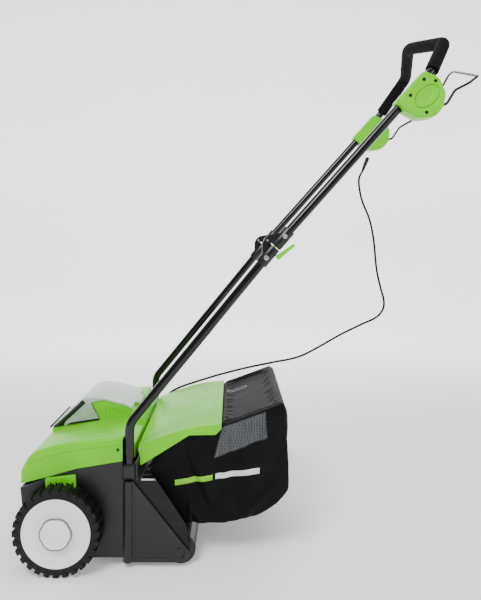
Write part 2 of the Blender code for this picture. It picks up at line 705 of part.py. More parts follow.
def bag(frame):
    front_top, front_knee, front_foot = (0.205, 0.2390), (0.176, 0.188), (0.253, 0.0735)
    outline = [front_foot, front_knee, front_top, (0.213, 0.2600), (0.252, 0.2728), (0.290, 0.2822),
               (0.3395, 0.2870), (0.343, 0.2940), (0.474, 0.3420), (0.480, 0.3150), (0.487, 0.1480), (0.470, 0.1260),
               (0.4165, 0.0960), (0.335, 0.0800)]
    radii = [0.010, 0.004, 0.0, 0.004, 0, 0, 0, 0, 0.010, 0.01, 0.02, 0.03, 0.05, 0]
    room = [(0.258, 0.0765), (0.335, 0.0828), (0.4155, 0.0990), (0.468, 0.1290), (0.4840, 0.1490), (0.4770, 0.3130),
            (0.4720, 0.3385), (0.345, 0.2915), (0.3390, 0.2843), (0.290, 0.2795), (0.252, 0.2700), (0.2150, 0.2573),
            (0.150, 0.2573), (0.150, 0.0765)]
    cloth = soften(prism("bag_fabric", rounded(outline, radii, 3), -BAG_Y, BAG_Y), 0.006, 2, 60)
    cut(cloth, prism("bag_room", room, -BAG_Y + BAG_WALL, BAG_Y - BAG_WALL))
    part(cloth, FABRIC, frame)
    ring_y = BAG_Y - BAG_WALL - 0.006
    corners = [(0.2630, 0.0, 0.0810), (0.2630, -ring_y, 0.0810), (0.1860, -ring_y, 0.190),
               (0.2200, -ring_y, 0.2515), (0.2200, ring_y, 0.2515), (0.1860, ring_y, 0.190),
               (0.2630, ring_y, 0.0810), (0.2630, 0.0005, 0.0810)]
    frame_wire = wire("bag_frame", smooth_route(corners, [0.012] * 6, 0.006), 0.003, 1)
    part(frame_wire, TUBE, frame)


# Handle


def fold_point(side):
    """The axis of the fold, ahead of the tubes' line."""
    return FOLD[0] - FOLD_OFFSET * sin(LOWER_SLOPE), FOLD[1] + FOLD_OFFSET * cos(LOWER_SLOPE)


def along(slope, distance, off=0.0):
    """A point in X and Z from where the tubes meet, off being towards the front."""
    return (FOLD[0] + distance * cos(slope) - off * sin(slope), FOLD[1] + distance * sin(slope) + off * cos(slope))


def at_side(point, side, y=TUBE_Y):
    return (point[0], side * y, point[1])


def lower_handle(side_name, side):
    corners = [(SOCKET_X, side * TUBE_Y, 0.1900), (LOWER_BEND[0], side * TUBE_Y, LOWER_BEND[1]),
               at_side(along(LOWER_SLOPE, -0.004), side)]
    tube = wire(f"lower_handle_{side_name}", smooth_route(corners, [0.045], 0.006), TUBE_R, 2, capped=False)
    part(hollow(tube, TUBE_WALL), TUBE)


def upper_route():
    foot = along(UPPER_SLOPE, 0.004)
    knee = along(UPPER_SLOPE, 0.503)
    left = [at_side(foot, -1), at_side(knee, -1), (HAND_CORNER[0], -HAND_CORNER[1], HAND_CORNER[2])]
    right = [(x, -y, z) for x, y, z in reversed(left)]
    return smooth_route([*left, HAND_MIDDLE, *right], [0.035, 0.028, 0.06, 0.028, 0.035], 0.009)


def upper_handle(frame):
    route = upper_route()
    tube = wire("upper_handle", route, TUBE_R, 2, capped=False)
    part(hollow(tube, TUBE_WALL), TUBE, frame)
    top = max(p.z for p in route)
    high = [p for p in route if p.z > 1.052]
    foam = wire("foam_grip", high, FOAM_R, 2, capped=False)
    part(hollow(foam, FOAM_R * cos(pi / 8) - TUBE_R - 0.0006), FOAM, frame)
    return top


def fold_joint(side_name, side, frame):
    """Two sleeves hinged ahead of the tubes, so that the upper one can lie beside the lower one."""
    pivot = fold_point(side)
    ear_in, ear_out = TUBE_Y - 0.0045, TUBE_Y + 0.0045
    for name, slope, sign, material_frame in (("fold_bracket", LOWER_SLOPE, -1, None),
                                              ("fold_knuckle", UPPER_SLOPE, 1, frame)):
        near, far = at_side(along(slope, sign * 0.0012), side), at_side(along(slope, sign * 0.048), side)
        sleeve = rod(f"{name}_{side_name}", near, far, SLEEVE_R, 16)
        lobes = ((ear_in, ear_out),) if sign < 0 else ((TUBE_Y - 0.0105, TUBE_Y - 0.0052),
                                                       (TUBE_Y + 0.0052, TUBE_Y + 0.0105))
        hinge_root = [along(slope, sign * 0.010, 0.004), along(slope, sign * 0.034, 0.008)]
        for i, (low, high) in enumerate(lobes):
            y_low, y_high = span(side, low, high)
            join(sleeve, cross_rod(f"{name}_eye_{side_name}_{i}", pivot, y_low, y_high, 0.0070, 16))
            away = along(slope, sign * 0.0105, FOLD_OFFSET + 0.005)
            close = along(slope, sign * 0.0012, 0.006)
            web = [close, hinge_root[1], away, along(slope, sign * 0.001, FOLD_OFFSET + 0.0065)]
            join(sleeve, prism(f"{name}_web_{side_name}_{i}", web, y_low, y_high))
        bore = rod(f"{name}_bore_{side_name}", at_side(along(slope, -sign * 0.01), side),
                   at_side(along(slope, sign * 0.08), side), TUBE_R + 0.0006, 20)
        cut(sleeve, bore, cross_rod(f"{name}_pin_hole_{side_name}", pivot, *span(side, 0.18, 0.23), 0.0030, 16))
        part(sleeve, BLACK, material_frame)
    pin = cross_rod(f"fold_pin_{side_name}", pivot, *span(side, TUBE_Y - 0.0125, TUBE_Y + 0.0125), 0.0026, 16)
    part(pin, STEEL)


def cam_lever(side_name, side, frame):
    """The over-centre lever behind the tubes that locks the fold."""
    root = along(LOWER_SLOPE, -0.012, -SLEEVE_R - 0.0062)
    tip = (root[0] + 0.034, root[1] + 0.026)
    lean = atan2(tip[1] - root[1], tip[0] - root[0])
    out = Vector((-sin(lean), cos(lean))) * 0.0045
    outline = rounded([(root[0] + out.x, root[1] + out.y), (tip[0] + out.x * 0.6, tip[1] + out.y * 0.6),
                       (tip[0] - out.x * 0.6, tip[1] - out.y * 0.6), (root[0] - out.x, root[1] - out.y)],
                      [0.003, 0.002, 0.002, 0.003])
    lever = prism(f"cam_lever_{side_name}", outline, *span(side, TUBE_Y - 0.009, TUBE_Y + 0.009))
    join(lever, cross_rod(f"cam_{side_name}", root, *span(side, TUBE_Y - 0.009, TUBE_Y + 0.009), 0.0055, 20))
    part(lever, BLACK, frame)


def housing_point(s, n):
    """A point on a switch housing's side: s up the tube, n behind it."""
    return (0.722 + s * cos(UPPER_SLOPE) + n * sin(UPPER_SLOPE), 0.979 + s * sin(UPPER_SLOPE) - n * cos(UPPER_SLOPE))


def switch_housing(side_name, side, frame):
    corners = [(-0.008, -0.0155), (0.078, -0.0145), (0.088, 0.020), (0.074, 0.050), (0.050, 0.067), (0.022, 0.068),
               (-0.004, 0.045), (-0.012, 0.012)]
    outline = rounded([housing_point(*c) for c in corners],
                      [0.006, 0.010, 0.025, 0.025, 0.025, 0.020, 0.030, 0.010], 2)
    low, high = span(side, 0.186, 0.231)
    box = soften(prism(f"switch_housing_{side_name}", outline, low, high), 0.008, 2, 50)
    tube_bore = rod(f"housing_bore_{side_name}", at_side(along(UPPER_SLOPE, 0.30), side),
                    at_side(along(UPPER_SLOPE, 0.56), side), TUBE_R + 0.0007, 20)
    slot = prism(f"bail_slot_{side_name}",
                 [(BAIL_PIVOT[0] - 0.008, BAIL_PIVOT[1] - 0.007), (0.85, 0.955), (0.86, 1.10), (0.80, 1.06),
                  (BAIL_PIVOT[0] - 0.008, BAIL_PIVOT[1] + 0.007)], *span(side, 0.2008, 0.2092))
    bore = cross_rod(f"bail_bore_{side_name}", BAIL_PIVOT, *span(side, 0.194, 0.2092), BAIL_R + 0.0006, 16)
    cut(box, tube_bore, slot, bore)
    return part(box, GREEN, frame)


def safety_button(frame):
    """The lock-off button on the left housing's inner side, by the thumb; it slides in along the housing's width."""
    at = housing_point(0.038, 0.030)
    button = cross_rod("safety_button", at, -0.1910, -0.1800, 0.0075, 20)
    return part(soften(button, 0.001, 1), BLACK, frame)


def button_room(box):
    return cut(box, cross_rod("button_room", housing_point(0.038, 0.030), -0.1958, -0.17, 0.0080, 20))


def bail(frame):
    half = [(BAIL_PIVOT[0], -0.1950, BAIL_PIVOT[1]), (BAIL_PIVOT[0], -0.205, BAIL_PIVOT[1]),
            (0.817, -0.205, 0.979), (0.838, -0.201, 1.012), (0.878, -0.176, 1.034), (0.9105, -0.147, 1.058)]
    apex = (0.907, 0.0, 1.113)
    other = [(x, -y, z) for x, y, z in reversed(half)]
    radii = [0.006, 0.012, 0.016, 0.03, 0.012, 0.08, 0.012, 0.03, 0.016, 0.012, 0.006]
    part(wire("bail_bar", smooth_route([*half, apex, *other], radii, 0.006), BAIL_R, 1), TUBE, frame)


# Control cable, in one piece from the right switch housing to the deck
CABLE_ROUTE = [
    (0.7345, 0.2050, 0.8900), (0.7235, 0.2052, 0.8620), (0.7315, 0.2056, 0.8080), (0.7540, 0.2060, 0.7500),
    (0.7660, 0.2062, 0.6920), (0.7745, 0.2064, 0.6080), (0.7865, 0.2064, 0.5520), (0.7950, 0.2060, 0.5200),
    (0.7925, 0.2056, 0.4930), (0.7720, 0.2054, 0.4690), (0.7270, 0.2052, 0.4480), (0.6700, 0.2050, 0.4200),
    (0.6120, 0.2050, 0.3870), (0.5640, 0.2052, 0.3620), (0.5260, 0.2054, 0.3500), (0.4830, 0.2056, 0.3420),
    (0.4120, 0.2060, 0.3275), (0.3400, 0.2060, 0.3100), (0.2690, 0.2058, 0.2890), (0.2100, 0.2054, 0.2690),
    (0.1795, 0.2050, 0.2500), (0.1738, 0.2046, 0.2290),
]


def cable_pieces(frame):
    part(wire("control_cable", flowing_route(CABLE_ROUTE, 66), CABLE_R, 2), RUBBER, frame)
    top, below = Vector(CABLE_ROUTE[0]), Vector(CABLE_ROUTE[1])
    up = (top - below).normalized()
    relief = rod("cable_strain_relief", top + up * GAP, top + up * 0.040, 0.0042, 16, 0.0065)
    part(relief, RUBBER, frame)
    end, before = Vector(CABLE_ROUTE[-1]), Vector(CABLE_ROUTE[-2])
    down = (end - before).normalized()
    gland = rod("cable_gland", end + down * GAP, end + down * 0.019, 0.0044, 16, 0.0062)
    part(gland, RUBBER)


def build():
    axle = body_frame("axle_frame", CRANK[0], 0.0, CRANK[1], ROOT)
    handle = body_frame("handle_frame", fold_point(1)[0], 0.0, fold_point(1)[1], ROOT)
    deck_housing()
    hood()
    battery_bay()
    battery_pack()
    battery_latch()
    lid_frame = body_frame("lid_frame", LID_HINGE[0], 0.0, LID_HINGE[1], ROOT)
    battery_lid(lid_frame)
    lid_seal(lid_frame)
    part(cross_rod("lid_hinge_pin", LID_HINGE, -0.038, 0.038, 0.0019, 12), STEEL)
    motor_drive(body_frame("motor_frame", MOTOR[0], 0.0, MOTOR[1], ROOT))
    drive_belt()
    controller()
    tine_rotor(body_frame("rotor_frame", ROTOR[0], 0.0, ROTOR[1], ROOT))
    rotor_bearings()
    depth_axle(axle)
    rear_roller(body_frame("roller_frame", ROLLER[0], 0.0, ROLLER[1], ROOT))
    discharge_flap(body_frame("flap_frame", FLAP_HINGE[0], 0.0, FLAP_HINGE[1], ROOT))
    bag(body_frame("bag_frame_origin", 0.20, 0.0, 0.24, ROOT))
    upper_handle(handle)
    for side_name, side in SIDES:
        side_panel(side_name, side)
        handle_socket(side_name, side)
        hood_screw(side_name, side)
        lower_handle(side_name, side)
        wheel(side_name, side, body_frame(f"wheel_frame_{side_name}", 0.0, 0.0, WHEEL_R, ROOT))
        fold_joint(side_name, side, handle)
        root = along(LOWER_SLOPE, -0.012, -SLEEVE_R - 0.0062)
        cam_lever(side_name, side, body_frame(f"cam_frame_{side_name}", root[0], 0.0, root[1], ROOT))
        housing = switch_housing(side_name, side, handle)
        if side < 0:
            button_room(housing)
    safety_button(handle)
    bail(body_frame("bail_frame", BAIL_PIVOT[0], 0.0, BAIL_PIVOT[1], ROOT))
    cable_pieces(ROOT)


build()
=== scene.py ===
"""A battery lawn dethatcher: the finished look of each piece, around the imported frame.

Metres, Z up; X runs to the rear and Y to the machine's right. Most outlines give X from the front axle."""

from math import cos, pi, radians, sin, tan

import bmesh
import bpy
from mathutils import Matrix, Vector
from mathutils.bvhtree import BVHTree


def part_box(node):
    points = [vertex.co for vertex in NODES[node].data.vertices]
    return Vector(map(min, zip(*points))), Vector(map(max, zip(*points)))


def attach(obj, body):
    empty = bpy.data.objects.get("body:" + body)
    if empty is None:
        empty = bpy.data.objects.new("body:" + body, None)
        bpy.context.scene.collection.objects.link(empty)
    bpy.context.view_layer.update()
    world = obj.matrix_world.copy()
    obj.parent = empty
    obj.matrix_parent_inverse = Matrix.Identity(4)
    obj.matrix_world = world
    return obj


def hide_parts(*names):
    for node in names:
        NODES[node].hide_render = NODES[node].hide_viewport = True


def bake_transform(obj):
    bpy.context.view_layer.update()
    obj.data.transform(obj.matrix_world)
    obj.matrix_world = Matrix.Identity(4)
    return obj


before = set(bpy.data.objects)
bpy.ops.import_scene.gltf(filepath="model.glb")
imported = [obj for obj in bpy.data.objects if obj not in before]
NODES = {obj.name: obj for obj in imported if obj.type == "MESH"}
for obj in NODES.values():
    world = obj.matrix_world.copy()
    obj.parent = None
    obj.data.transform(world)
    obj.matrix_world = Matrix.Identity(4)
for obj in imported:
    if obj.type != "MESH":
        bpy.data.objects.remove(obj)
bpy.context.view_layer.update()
MM = 0.001


def link(obj):
    bpy.context.scene.collection.objects.link(obj)


def middle(node):
    low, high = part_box(node)
    return (Vector(low) + Vector(high)) / 2


AXLE_X = middle("tyre_left").x


def at(x, y, z):
    return Vector((AXLE_X + x, y, z))


# Camera, light and floor


def camera_and_light():
    data = bpy.data.cameras.new("camera")
    data.lens = 33.72
    data.shift_x = 0.0142
    data.shift_y = -0.1
    camera = bpy.data.objects.new("camera", data)
    camera.location = at(0.3603, -1.404, 0.691)
    camera.rotation_euler = (pi / 2, 0.0, 0.0)
    link(camera)
    bpy.context.scene.camera = camera
    for name, place, aim, size, power in (
        ("key", (-0.9, -1.7, 2.4), (0.0, 0.0, 0.4), 1.1, 62.0),
        ("fill", (1.9, -1.6, 1.2), (0.1, 0.0, 0.5), 1.2, 20.0),
        ("back", (0.2, 1.9, 2.4), (0.0, 0.0, 0.5), 1.8, 14.0),
        ("top", (0.0, -0.3, 2.9), (0.0, 0.0, 0.0), 2.0, 18.0),
    ):
        light = bpy.data.objects.new(name, bpy.data.lights.new(name, "AREA"))
        light.data.size = size
        light.data.energy = power
        light.location = place
        light.rotation_euler = (Vector(aim) - Vector(place)).to_track_quat("-Z", "Y").to_euler()
        link(light)
    world = bpy.data.worlds.new("studio")
    world.use_nodes = True
    world.node_tree.nodes["Background"].inputs["Color"].default_value = (1.0, 1.0, 1.0, 1.0)
    world.node_tree.nodes["Background"].inputs["Strength"].default_value = 0.36
    bpy.context.scene.world = world
    studio_paper()


def studio_paper():
    """White paper that lies under the machine and curves up into a lit wall behind it."""
    profile = [(-6.0, 0.0), (2.2, 0.0)]
    for k in range(1, 25):
        a = pi / 2 * k / 24
        profile.append((2.2 + 1.3 * sin(a), 1.3 - 1.3 * cos(a)))
    profile.append((3.5, 5.0))

    def build(bm):
        rows = [[bm.verts.new((x, y, z - 0.0005)) for x in (-6.0, 6.0)] for y, z in profile]
        for (a, b), (c, d) in zip(rows, rows[1:]):
            bm.faces.new((a, b, d, c))

    paper = shape("studio_paper", build)
    paper.data.shade_smooth()
    paper.data.materials.append(paper_finish())


# Material tools


def linear(hex_colour):
    """An sRGB hex colour as linear numbers."""
    parts = [int(hex_colour[i : i + 2], 16) / 255 for i in (1, 3, 5)]
    return (*[c / 12.92 if c <= 0.04045 else ((c + 0.055) / 1.055) ** 2.4 for c in parts], 1.0)


def add(tree, kind, links=None, values=None, **settings):
    """A node with its settings; links gives inputs other nodes' outputs, values gives them numbers."""
    node = tree.nodes.new(kind)
    for name, value in settings.items():
        setattr(node, name, value)
    for name, value in (values or {}).items():
        node.inputs[name].default_value = value
    for name, output in (links or {}).items():
        tree.links.new(output, node.inputs[name])
    return node


def blank(name, **shader_values):
    """A new material, its tree, shader and Object coordinates."""
    material = bpy.data.materials.new(name)
    material.use_nodes = True
    tree = material.node_tree
    shader = tree.nodes["Principled BSDF"]
    for key, value in shader_values.items():
        shader.inputs[key.replace("_", " ")].default_value = value
    place = add(tree, "ShaderNodeTexCoord").outputs["Object"]
    return material, tree, shader, place


def noise(tree, place, scale, detail=2.0):
    return add(tree, "ShaderNodeTexNoise", {"Vector": place},
               {"Scale": scale, "Detail": detail}).outputs["Fac"]


def two_tone(tree, shader, factor, first, second, low=0.35, high=0.65):
    ramp = add(tree, "ShaderNodeValToRGB", {"Fac": factor})
    ramp.color_ramp.elements[0].position = low
    ramp.color_ramp.elements[1].position = high
    ramp.color_ramp.elements[0].color = linear(first)
    ramp.color_ramp.elements[1].color = linear(second)
    tree.links.new(ramp.outputs["Color"], shader.inputs["Base Color"])


def rough_range(tree, shader, factor, low, high):
    spread = add(tree, "ShaderNodeMapRange", {"Value": factor}, {"To Min": low, "To Max": high})
    tree.links.new(spread.outputs["Result"], shader.inputs["Roughness"])


def relief(tree, shader, height, depth, strength=1.0):
    bump = add(tree, "ShaderNodeBump", {"Height": height}, {"Distance": depth, "Strength": strength})
    tree.links.new(bump.outputs["Normal"], shader.inputs["Normal"])


def paper_finish():
    """Matt white studio paper: no gloss, faintly uneven, and brighter where it is lit behind the machine."""
    material, tree, shader, place = blank("white_studio_paper", Roughness=0.95)
    cloud = noise(tree, place, 1.5)
    two_tone(tree, shader, cloud, "#F6F6F6", "#FAFAFA")
    back = add(tree, "ShaderNodeSeparateXYZ", {"Vector": place}).outputs["Y"]
    glow = add(tree, "ShaderNodeMapRange", {"Value": back},
               {"From Min": 0.3, "From Max": 2.6, "To Min": 0.22, "To Max": 1.45},
               interpolation_type="SMOOTHSTEP")
    shader.inputs["Emission Color"].default_value = (1.0, 1.0, 1.0, 1.0)
    tree.links.new(glow.outputs["Result"], shader.inputs["Emission Strength"])
    return material


def moulded_plastic(name, dark, light, rough, grain_mm, depth_mm, shine=0.5):
    """Injection-moulded ABS: nearly one colour, with a grain from the mould that softens its gloss."""
    material, tree, shader, place = blank(name, IOR=1.53, Specular_IOR_Level=shine)
    cloud = noise(tree, place, 9.0, 3.0)
    grain = noise(tree, place, 1000.0 / grain_mm, 2.0)
    two_tone(tree, shader, cloud, dark, light)
    rough_range(tree, shader, grain, rough * 0.8, rough * 1.2)
    relief(tree, shader, grain, depth_mm * MM)
    return material


def powder_coat():
    """Glossy black powder coat on steel tube: deep black with orange peel about 3 mm across."""
    material, tree, shader, place = blank("black_powder_coat", IOR=1.5, Specular_IOR_Level=0.42)
    peel = noise(tree, place, 330.0, 1.0)
    dust = noise(tree, place, 30.0, 4.0)
    two_tone(tree, shader, dust, "#020202", "#060607")
    rough_range(tree, shader, dust, 0.1, 0.18)
    relief(tree, shader, peel, 0.03 * MM, 0.6)
    return material


def foam():
    """Closed-cell foam sleeve: dead matt, with cells about 1.2 mm across, drawn coarse enough to show."""
    material, tree, shader, place = blank("black_cell_foam", IOR=1.45, Specular_IOR_Level=0.18)
    cells = add(tree, "ShaderNodeTexVoronoi", {"Vector": place}, {"Scale": 830.0}).outputs["Distance"]
    cloud = noise(tree, place, 60.0, 4.0)
    two_tone(tree, shader, cloud, "#070707", "#101010")
    rough_range(tree, shader, cells, 0.82, 0.95)
    relief(tree, shader, cells, 0.35 * MM, 0.8)
    return material


def rubber(name, dark, light, rough, grain_mm):
    """Moulded rubber: a dull black that greys where it rubs."""
    material, tree, shader, place = blank(name, IOR=1.5, Specular_IOR_Level=0.3)
    cloud = noise(tree, place, 22.0, 6.0)
    grain = noise(tree, place, 1000.0 / grain_mm, 3.0)
    two_tone(tree, shader, cloud, dark, light)
    rough_range(tree, shader, cloud, rough, rough + 0.15)
    relief(tree, shader, grain, 0.12 * MM)
    return material


def zinc_steel():
    """Bright zinc-plated steel: a metal with faint spangle and soft scratches."""
    material, tree, shader, place = blank("zinc_plated_steel", Metallic=1.0)
    spangle = add(tree, "ShaderNodeTexVoronoi", {"Vector": place}, {"Scale": 260.0}).outputs["Distance"]
    two_tone(tree, shader, spangle, "#9FA2A6", "#C4C6C9", 0.1, 0.9)
    rough_range(tree, shader, spangle, 0.26, 0.4)
    relief(tree, shader, spangle, 0.02 * MM)
    return material


def clear_lid():
    """Frosted polycarbonate: milky with a faint green cast, so what is behind it shows only softly."""
    material, tree, shader, place = blank(
        "frosted_polycarbonate", IOR=1.58, Transmission_Weight=0.35, Alpha=0.72, Coat_Weight=0.15
    )
    haze = noise(tree, place, 40.0, 3.0)
    two_tone(tree, shader, haze, "#C9DBCB", "#DCE6DD")
    rough_range(tree, shader, haze, 0.12, 0.26)
    relief(tree, shader, haze, 0.05 * MM, 0.5)
    return material


def threads(tree, place, spacing_mm):
    """Two crossing sets of threads, as heights from 0 to 1."""
    sets = []
    for direction in ("X", "Z"):
        wave = add(tree, "ShaderNodeTexWave", {"Vector": place},
                   {"Scale": 1000.0 / spacing_mm / 3.14159 / 2}, bands_direction=direction)
        sets.append(wave.outputs["Fac"])
    return add(tree, "ShaderNodeMath", {0: sets[0], 1: sets[1]}, operation="MULTIPLY").outputs["Value"]


def bag_cloth():
    """Coated polyester bag cloth: near black, slightly shiny, its weave drawn at 1.6 mm so that it shows."""
    material, tree, shader, place = blank("black_coated_polyester", IOR=1.48, Specular_IOR_Level=0.12)
    weave = threads(tree, place, 1.6)
    cloud = noise(tree, place, 14.0, 5.0)
    two_tone(tree, shader, cloud, "#050506", "#0D0E10")
    rough_range(tree, shader, cloud, 0.5, 0.7)
    relief(tree, shader, weave, 0.25 * MM, 0.7)
    return material


def window_net():
    """Open grey net, its holes drawn 3 mm apart: light threads over a dark hollow."""
    material, tree, shader, place = blank("grey_net", IOR=1.48, Specular_IOR_Level=0.15)
    net = threads(tree, place, 3.2)
    cloud = noise(tree, place, 55.0, 3.0)
    mixed = add(tree, "ShaderNodeMath", {0: net, 1: cloud}, operation="MULTIPLY")
    two_tone(tree, shader, mixed.outputs["Value"], "#3A3C40", "#08090A", 0.02, 0.3)
    rough_range(tree, shader, cloud, 0.6, 0.85)
    relief(tree, shader, net, -0.5 * MM, 0.8)
    return material


def print_ink(name, hex_colour, hex_other):
    """Screen-printed ink on cloth or plastic: flat colour, broken a little by the weave under it."""
    material, tree, shader, place = blank(name, IOR=1.45)
    worn = noise(tree, place, 420.0, 3.0)
    two_tone(tree, shader, worn, hex_other, hex_colour, 0.2, 0.45)
    rough_range(tree, shader, worn, 0.5, 0.7)
    relief(tree, shader, worn, 0.03 * MM)
    return material


# Mesh tools


def shape(name, build):
    mesh = bpy.data.meshes.new(name)
    bm = bmesh.new()
    build(bm)
    bm.to_mesh(mesh)
    bm.free()
    obj = bpy.data.objects.new(name, mesh)
    link(obj)
    return obj


def settle(obj, flat=False):
    """The object's evaluated shape as a plain mesh at the origin; the object it came from is removed."""
    bpy.context.view_layer.update()
    mesh = bpy.data.meshes.new_from_object(obj.evaluated_get(bpy.context.evaluated_depsgraph_get()))
    mesh.transform(obj.matrix_world)
    name = obj.name
    bpy.data.objects.remove(obj, do_unlink=True)
    bm = bmesh.new()
    bm.from_mesh(mesh)
    bmesh.ops.remove_doubles(bm, verts=bm.verts, dist=1e-6)
    bmesh.ops.recalc_face_normals(bm, faces=bm.faces)
    if flat:
        bmesh.ops.dissolve_limit(bm, angle_limit=radians(0.2), verts=bm.verts, edges=bm.edges)
    bm.to_mesh(mesh)
    bm.free()
    plain = bpy.data.objects.new(name, mesh)
    link(plain)
    plain.name = name
    return plain


def block(name, low, high):
    low, high = Vector(low), Vector(high)
    matrix = Matrix.Translation((low + high) / 2) @ Matrix.Diagonal((*(high - low), 1.0))
    return shape(name, lambda bm: bmesh.ops.create_cube(bm, size=1.0, matrix=matrix))


def rod(name, start, end, radius, sides=32, tip=None):
    start, end = Vector(start), Vector(end)
    turn = (end - start).to_track_quat("Z", "Y").to_matrix().to_4x4()
    matrix = Matrix.Translation((start + end) / 2) @ turn
    return shape(name, lambda bm: bmesh.ops.create_cone(
        bm, cap_ends=True, segments=sides, radius1=radius, radius2=radius if tip is None else tip,
        depth=(end - start).length, matrix=matrix))


def prism(name, outline, low, high):
    """A flat outline in X (from the axle) and Z, filling Y from low to high."""
    curve = bpy.data.curves.new(name, "CURVE")
    curve.dimensions = "2D"
    curve.fill_mode = "BOTH"
    curve.extrude = (high - low) / 2
    spline = curve.splines.new("POLY")
    spline.points.add(len(outline) - 1)
    for point, (x, z) in zip(spline.points, outline):
        point.co = (AXLE_X + x, z, 0.0, 1.0)
    spline.use_cyclic_u = True
    guide = bpy.data.objects.new(name, curve)
    guide.rotation_euler.x = pi / 2
    guide.location.y = (low + high) / 2
    link(guide)
    return settle(guide, flat=True)


def fillet(before, here, after, r):
    """The middle of a corner's arc, and the directions and radius to its two ends."""
    back, ahead = (before - here).normalized(), (after - here).normalized()
    half = back.angle(ahead) / 2
    centre = here + (back + ahead).normalized() * r / sin(half)
    return centre, here + back * r / tan(half) - centre, here + ahead * r / tan(half) - centre


def rounded(outline, radius, steps=8):
    radii = radius if isinstance(radius, list) else [radius] * len(outline)
    result = []
    for i, (corner, r) in enumerate(zip(outline, radii)):
        here = Vector((*corner, 0.0))
        before, after = Vector((*outline[i - 1], 0.0)), Vector((*outline[(i + 1) % len(outline)], 0.0))
        if r < 1e-5:
            result.append(corner)
            continue
        centre, first, last = fillet(before, here, after, r)
        for k in range(steps + 1):
            point = centre + first.normalized().slerp(last.normalized(), k / steps) * r
            result.append((point.x, point.y))
    return result


def smooth_route(corners, radii, step):
    corners = [Vector(c) for c in corners]
    route = [corners[0]]
    for before, here, after, r in zip(corners, corners[1:], corners[2:], radii):
        centre, first, last = fillet(before, here, after, r)
        count = max(4, round(first.angle(last) * r / step))
        for k in range(count + 1):
            route.append(centre + first.normalized().slerp(last.normalized(), k / count) * r)
    route.append(corners[-1])
    return route


def flowing_route(points, count):
    """Evenly spread points on a smooth curve through the points given."""
    points = [Vector(p) for p in points]
    ends = [2 * points[0] - points[1], *points, 2 * points[-1] - points[-2]]
    fine = []
    for a, b, c, d in zip(ends, ends[1:], ends[2:], ends[3:]):
        for k in range(24):
            t = k / 24
            fine.append(((2 * b) + (c - a) * t + (2 * a - 5 * b + 4 * c - d) * t**2
                         + (3 * b - a - 3 * c + d) * t**3) / 2)
    fine.append(points[-1])
    lengths = [0.0]
    for a, b in zip(fine, fine[1:]):
        lengths.append(lengths[-1] + (b - a).length)
    route, k = [], 0
    for i in range(count):
        want = lengths[-1] * i / (count - 1)
        while k < len(lengths) - 2 and lengths[k + 1] < want:
            k += 1
        route.append(fine[k].lerp(fine[k + 1], (want - lengths[k]) / (lengths[k + 1] - lengths[k])))
    return route


def wire(name, routes, radius, resolution=5, capped=True):
    curve = bpy.data.curves.new(name, "CURVE")
    curve.dimensions = "3D"
    curve.bevel_depth = radius
    curve.bevel_resolution = resolution
    curve.use_fill_caps = capped
    for route in routes:
        spline = curve.splines.new("POLY")
        spline.points.add(len(route) - 1)
        for point, place in zip(spline.points, route):
            point.co = (*place, 1.0)
    guide = bpy.data.objects.new(name, curve)
    link(guide)
    return settle(guide)


def soften(obj, width, segments=4, angle=30):
    modifier = obj.modifiers.new("soft_edges", "BEVEL")
    modifier.width = width
    modifier.segments = segments
    modifier.limit_method = "ANGLE"
    modifier.angle_limit = radians(angle)
    return settle(obj)


def boolean(obj, other, operation):
    modifier = obj.modifiers.new(operation.lower(), "BOOLEAN")
    modifier.object = other
    modifier.operation = operation
    result = settle(obj)
    bpy.data.objects.remove(other, do_unlink=True)
    return result


def cut(obj, *others):
    for other in others:
        obj = boolean(obj, other, "DIFFERENCE")
    return obj


def join(obj, *others):
    for other in others:
        obj = boolean(obj, other, "UNION")
    return obj


def turned(name, profile, axle, side, steps=96):
    """A closed profile of radius and height, turned about Y at a point given in X and Z."""

    def build(bm):
        rings = []
        for k in range(steps):
            a = 2 * pi * k / steps
            rings.append([bm.verts.new((AXLE_X + axle[0] + r * cos(a), side * h, axle[1] + r * sin(a)))
                          for r, h in profile])
        for ring, after in zip(rings, rings[1:] + rings[:1]):
            for i in range(len(profile)):
                j = (i + 1) % len(profile)
                bm.faces.new((ring[i], ring[j], after[j], after[i]))
        bmesh.ops.recalc_face_normals(bm, faces=bm.faces)

    return shape(name, build)


def dress(obj, material, body, slot, *replaced, smooth=35):
    """Gives a piece its material, its body if one is given, and hides the CAD nodes it stands for; slot is
    not used.
    """
    obj.data.materials.clear()
    obj.data.materials.append(material)
    for face in obj.data.polygons:
        face.material_index = 0
    obj.data.shade_smooth()
    if smooth:
        obj.data.set_sharp_from_angle(angle=radians(smooth))
    if body:
        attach(obj, body)
    if replaced:
        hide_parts(*replaced)
    return obj


SIDES = (("left", -1), ("right", 1))


def spread(side, inner, outer):
    """The low and high Y of something between two distances from the middle plane."""
    return sorted((side * inner, side * outer))


# Materials of this machine

LIME = moulded_plastic("lime_abs", "#62C600", "#70D200", 0.34, 2.0, 0.03, shine=0.18)
BLACK_ABS = moulded_plastic("textured_black_abs", "#0C0C0D", "#151516", 0.38, 1.3, 0.09, shine=0.4)
SMOOTH_BLACK = moulded_plastic("smooth_black_nylon", "#0A0A0B", "#121213", 0.3, 1.6, 0.03, shine=0.4)
GREY_ABS = moulded_plastic("grey_abs", "#6A6D70", "#7C7F82", 0.36, 1.5, 0.04)
WHITE_ABS = moulded_plastic("white_abs", "#F2F3F4", "#FAFAFA", 0.32, 1.6, 0.04)
COAT = powder_coat()
FOAM = foam()
TYRE_RUBBER = rubber("black_tyre_rubber", "#060607", "#0E0E0F", 0.5, 1.1)
SOFT_RUBBER = rubber("soft_black_rubber", "#070708", "#0D0D0E", 0.4, 0.8)
CABLE_JACKET = rubber("pvc_cable_jacket", "#040405", "#09090A", 0.3, 0.9)
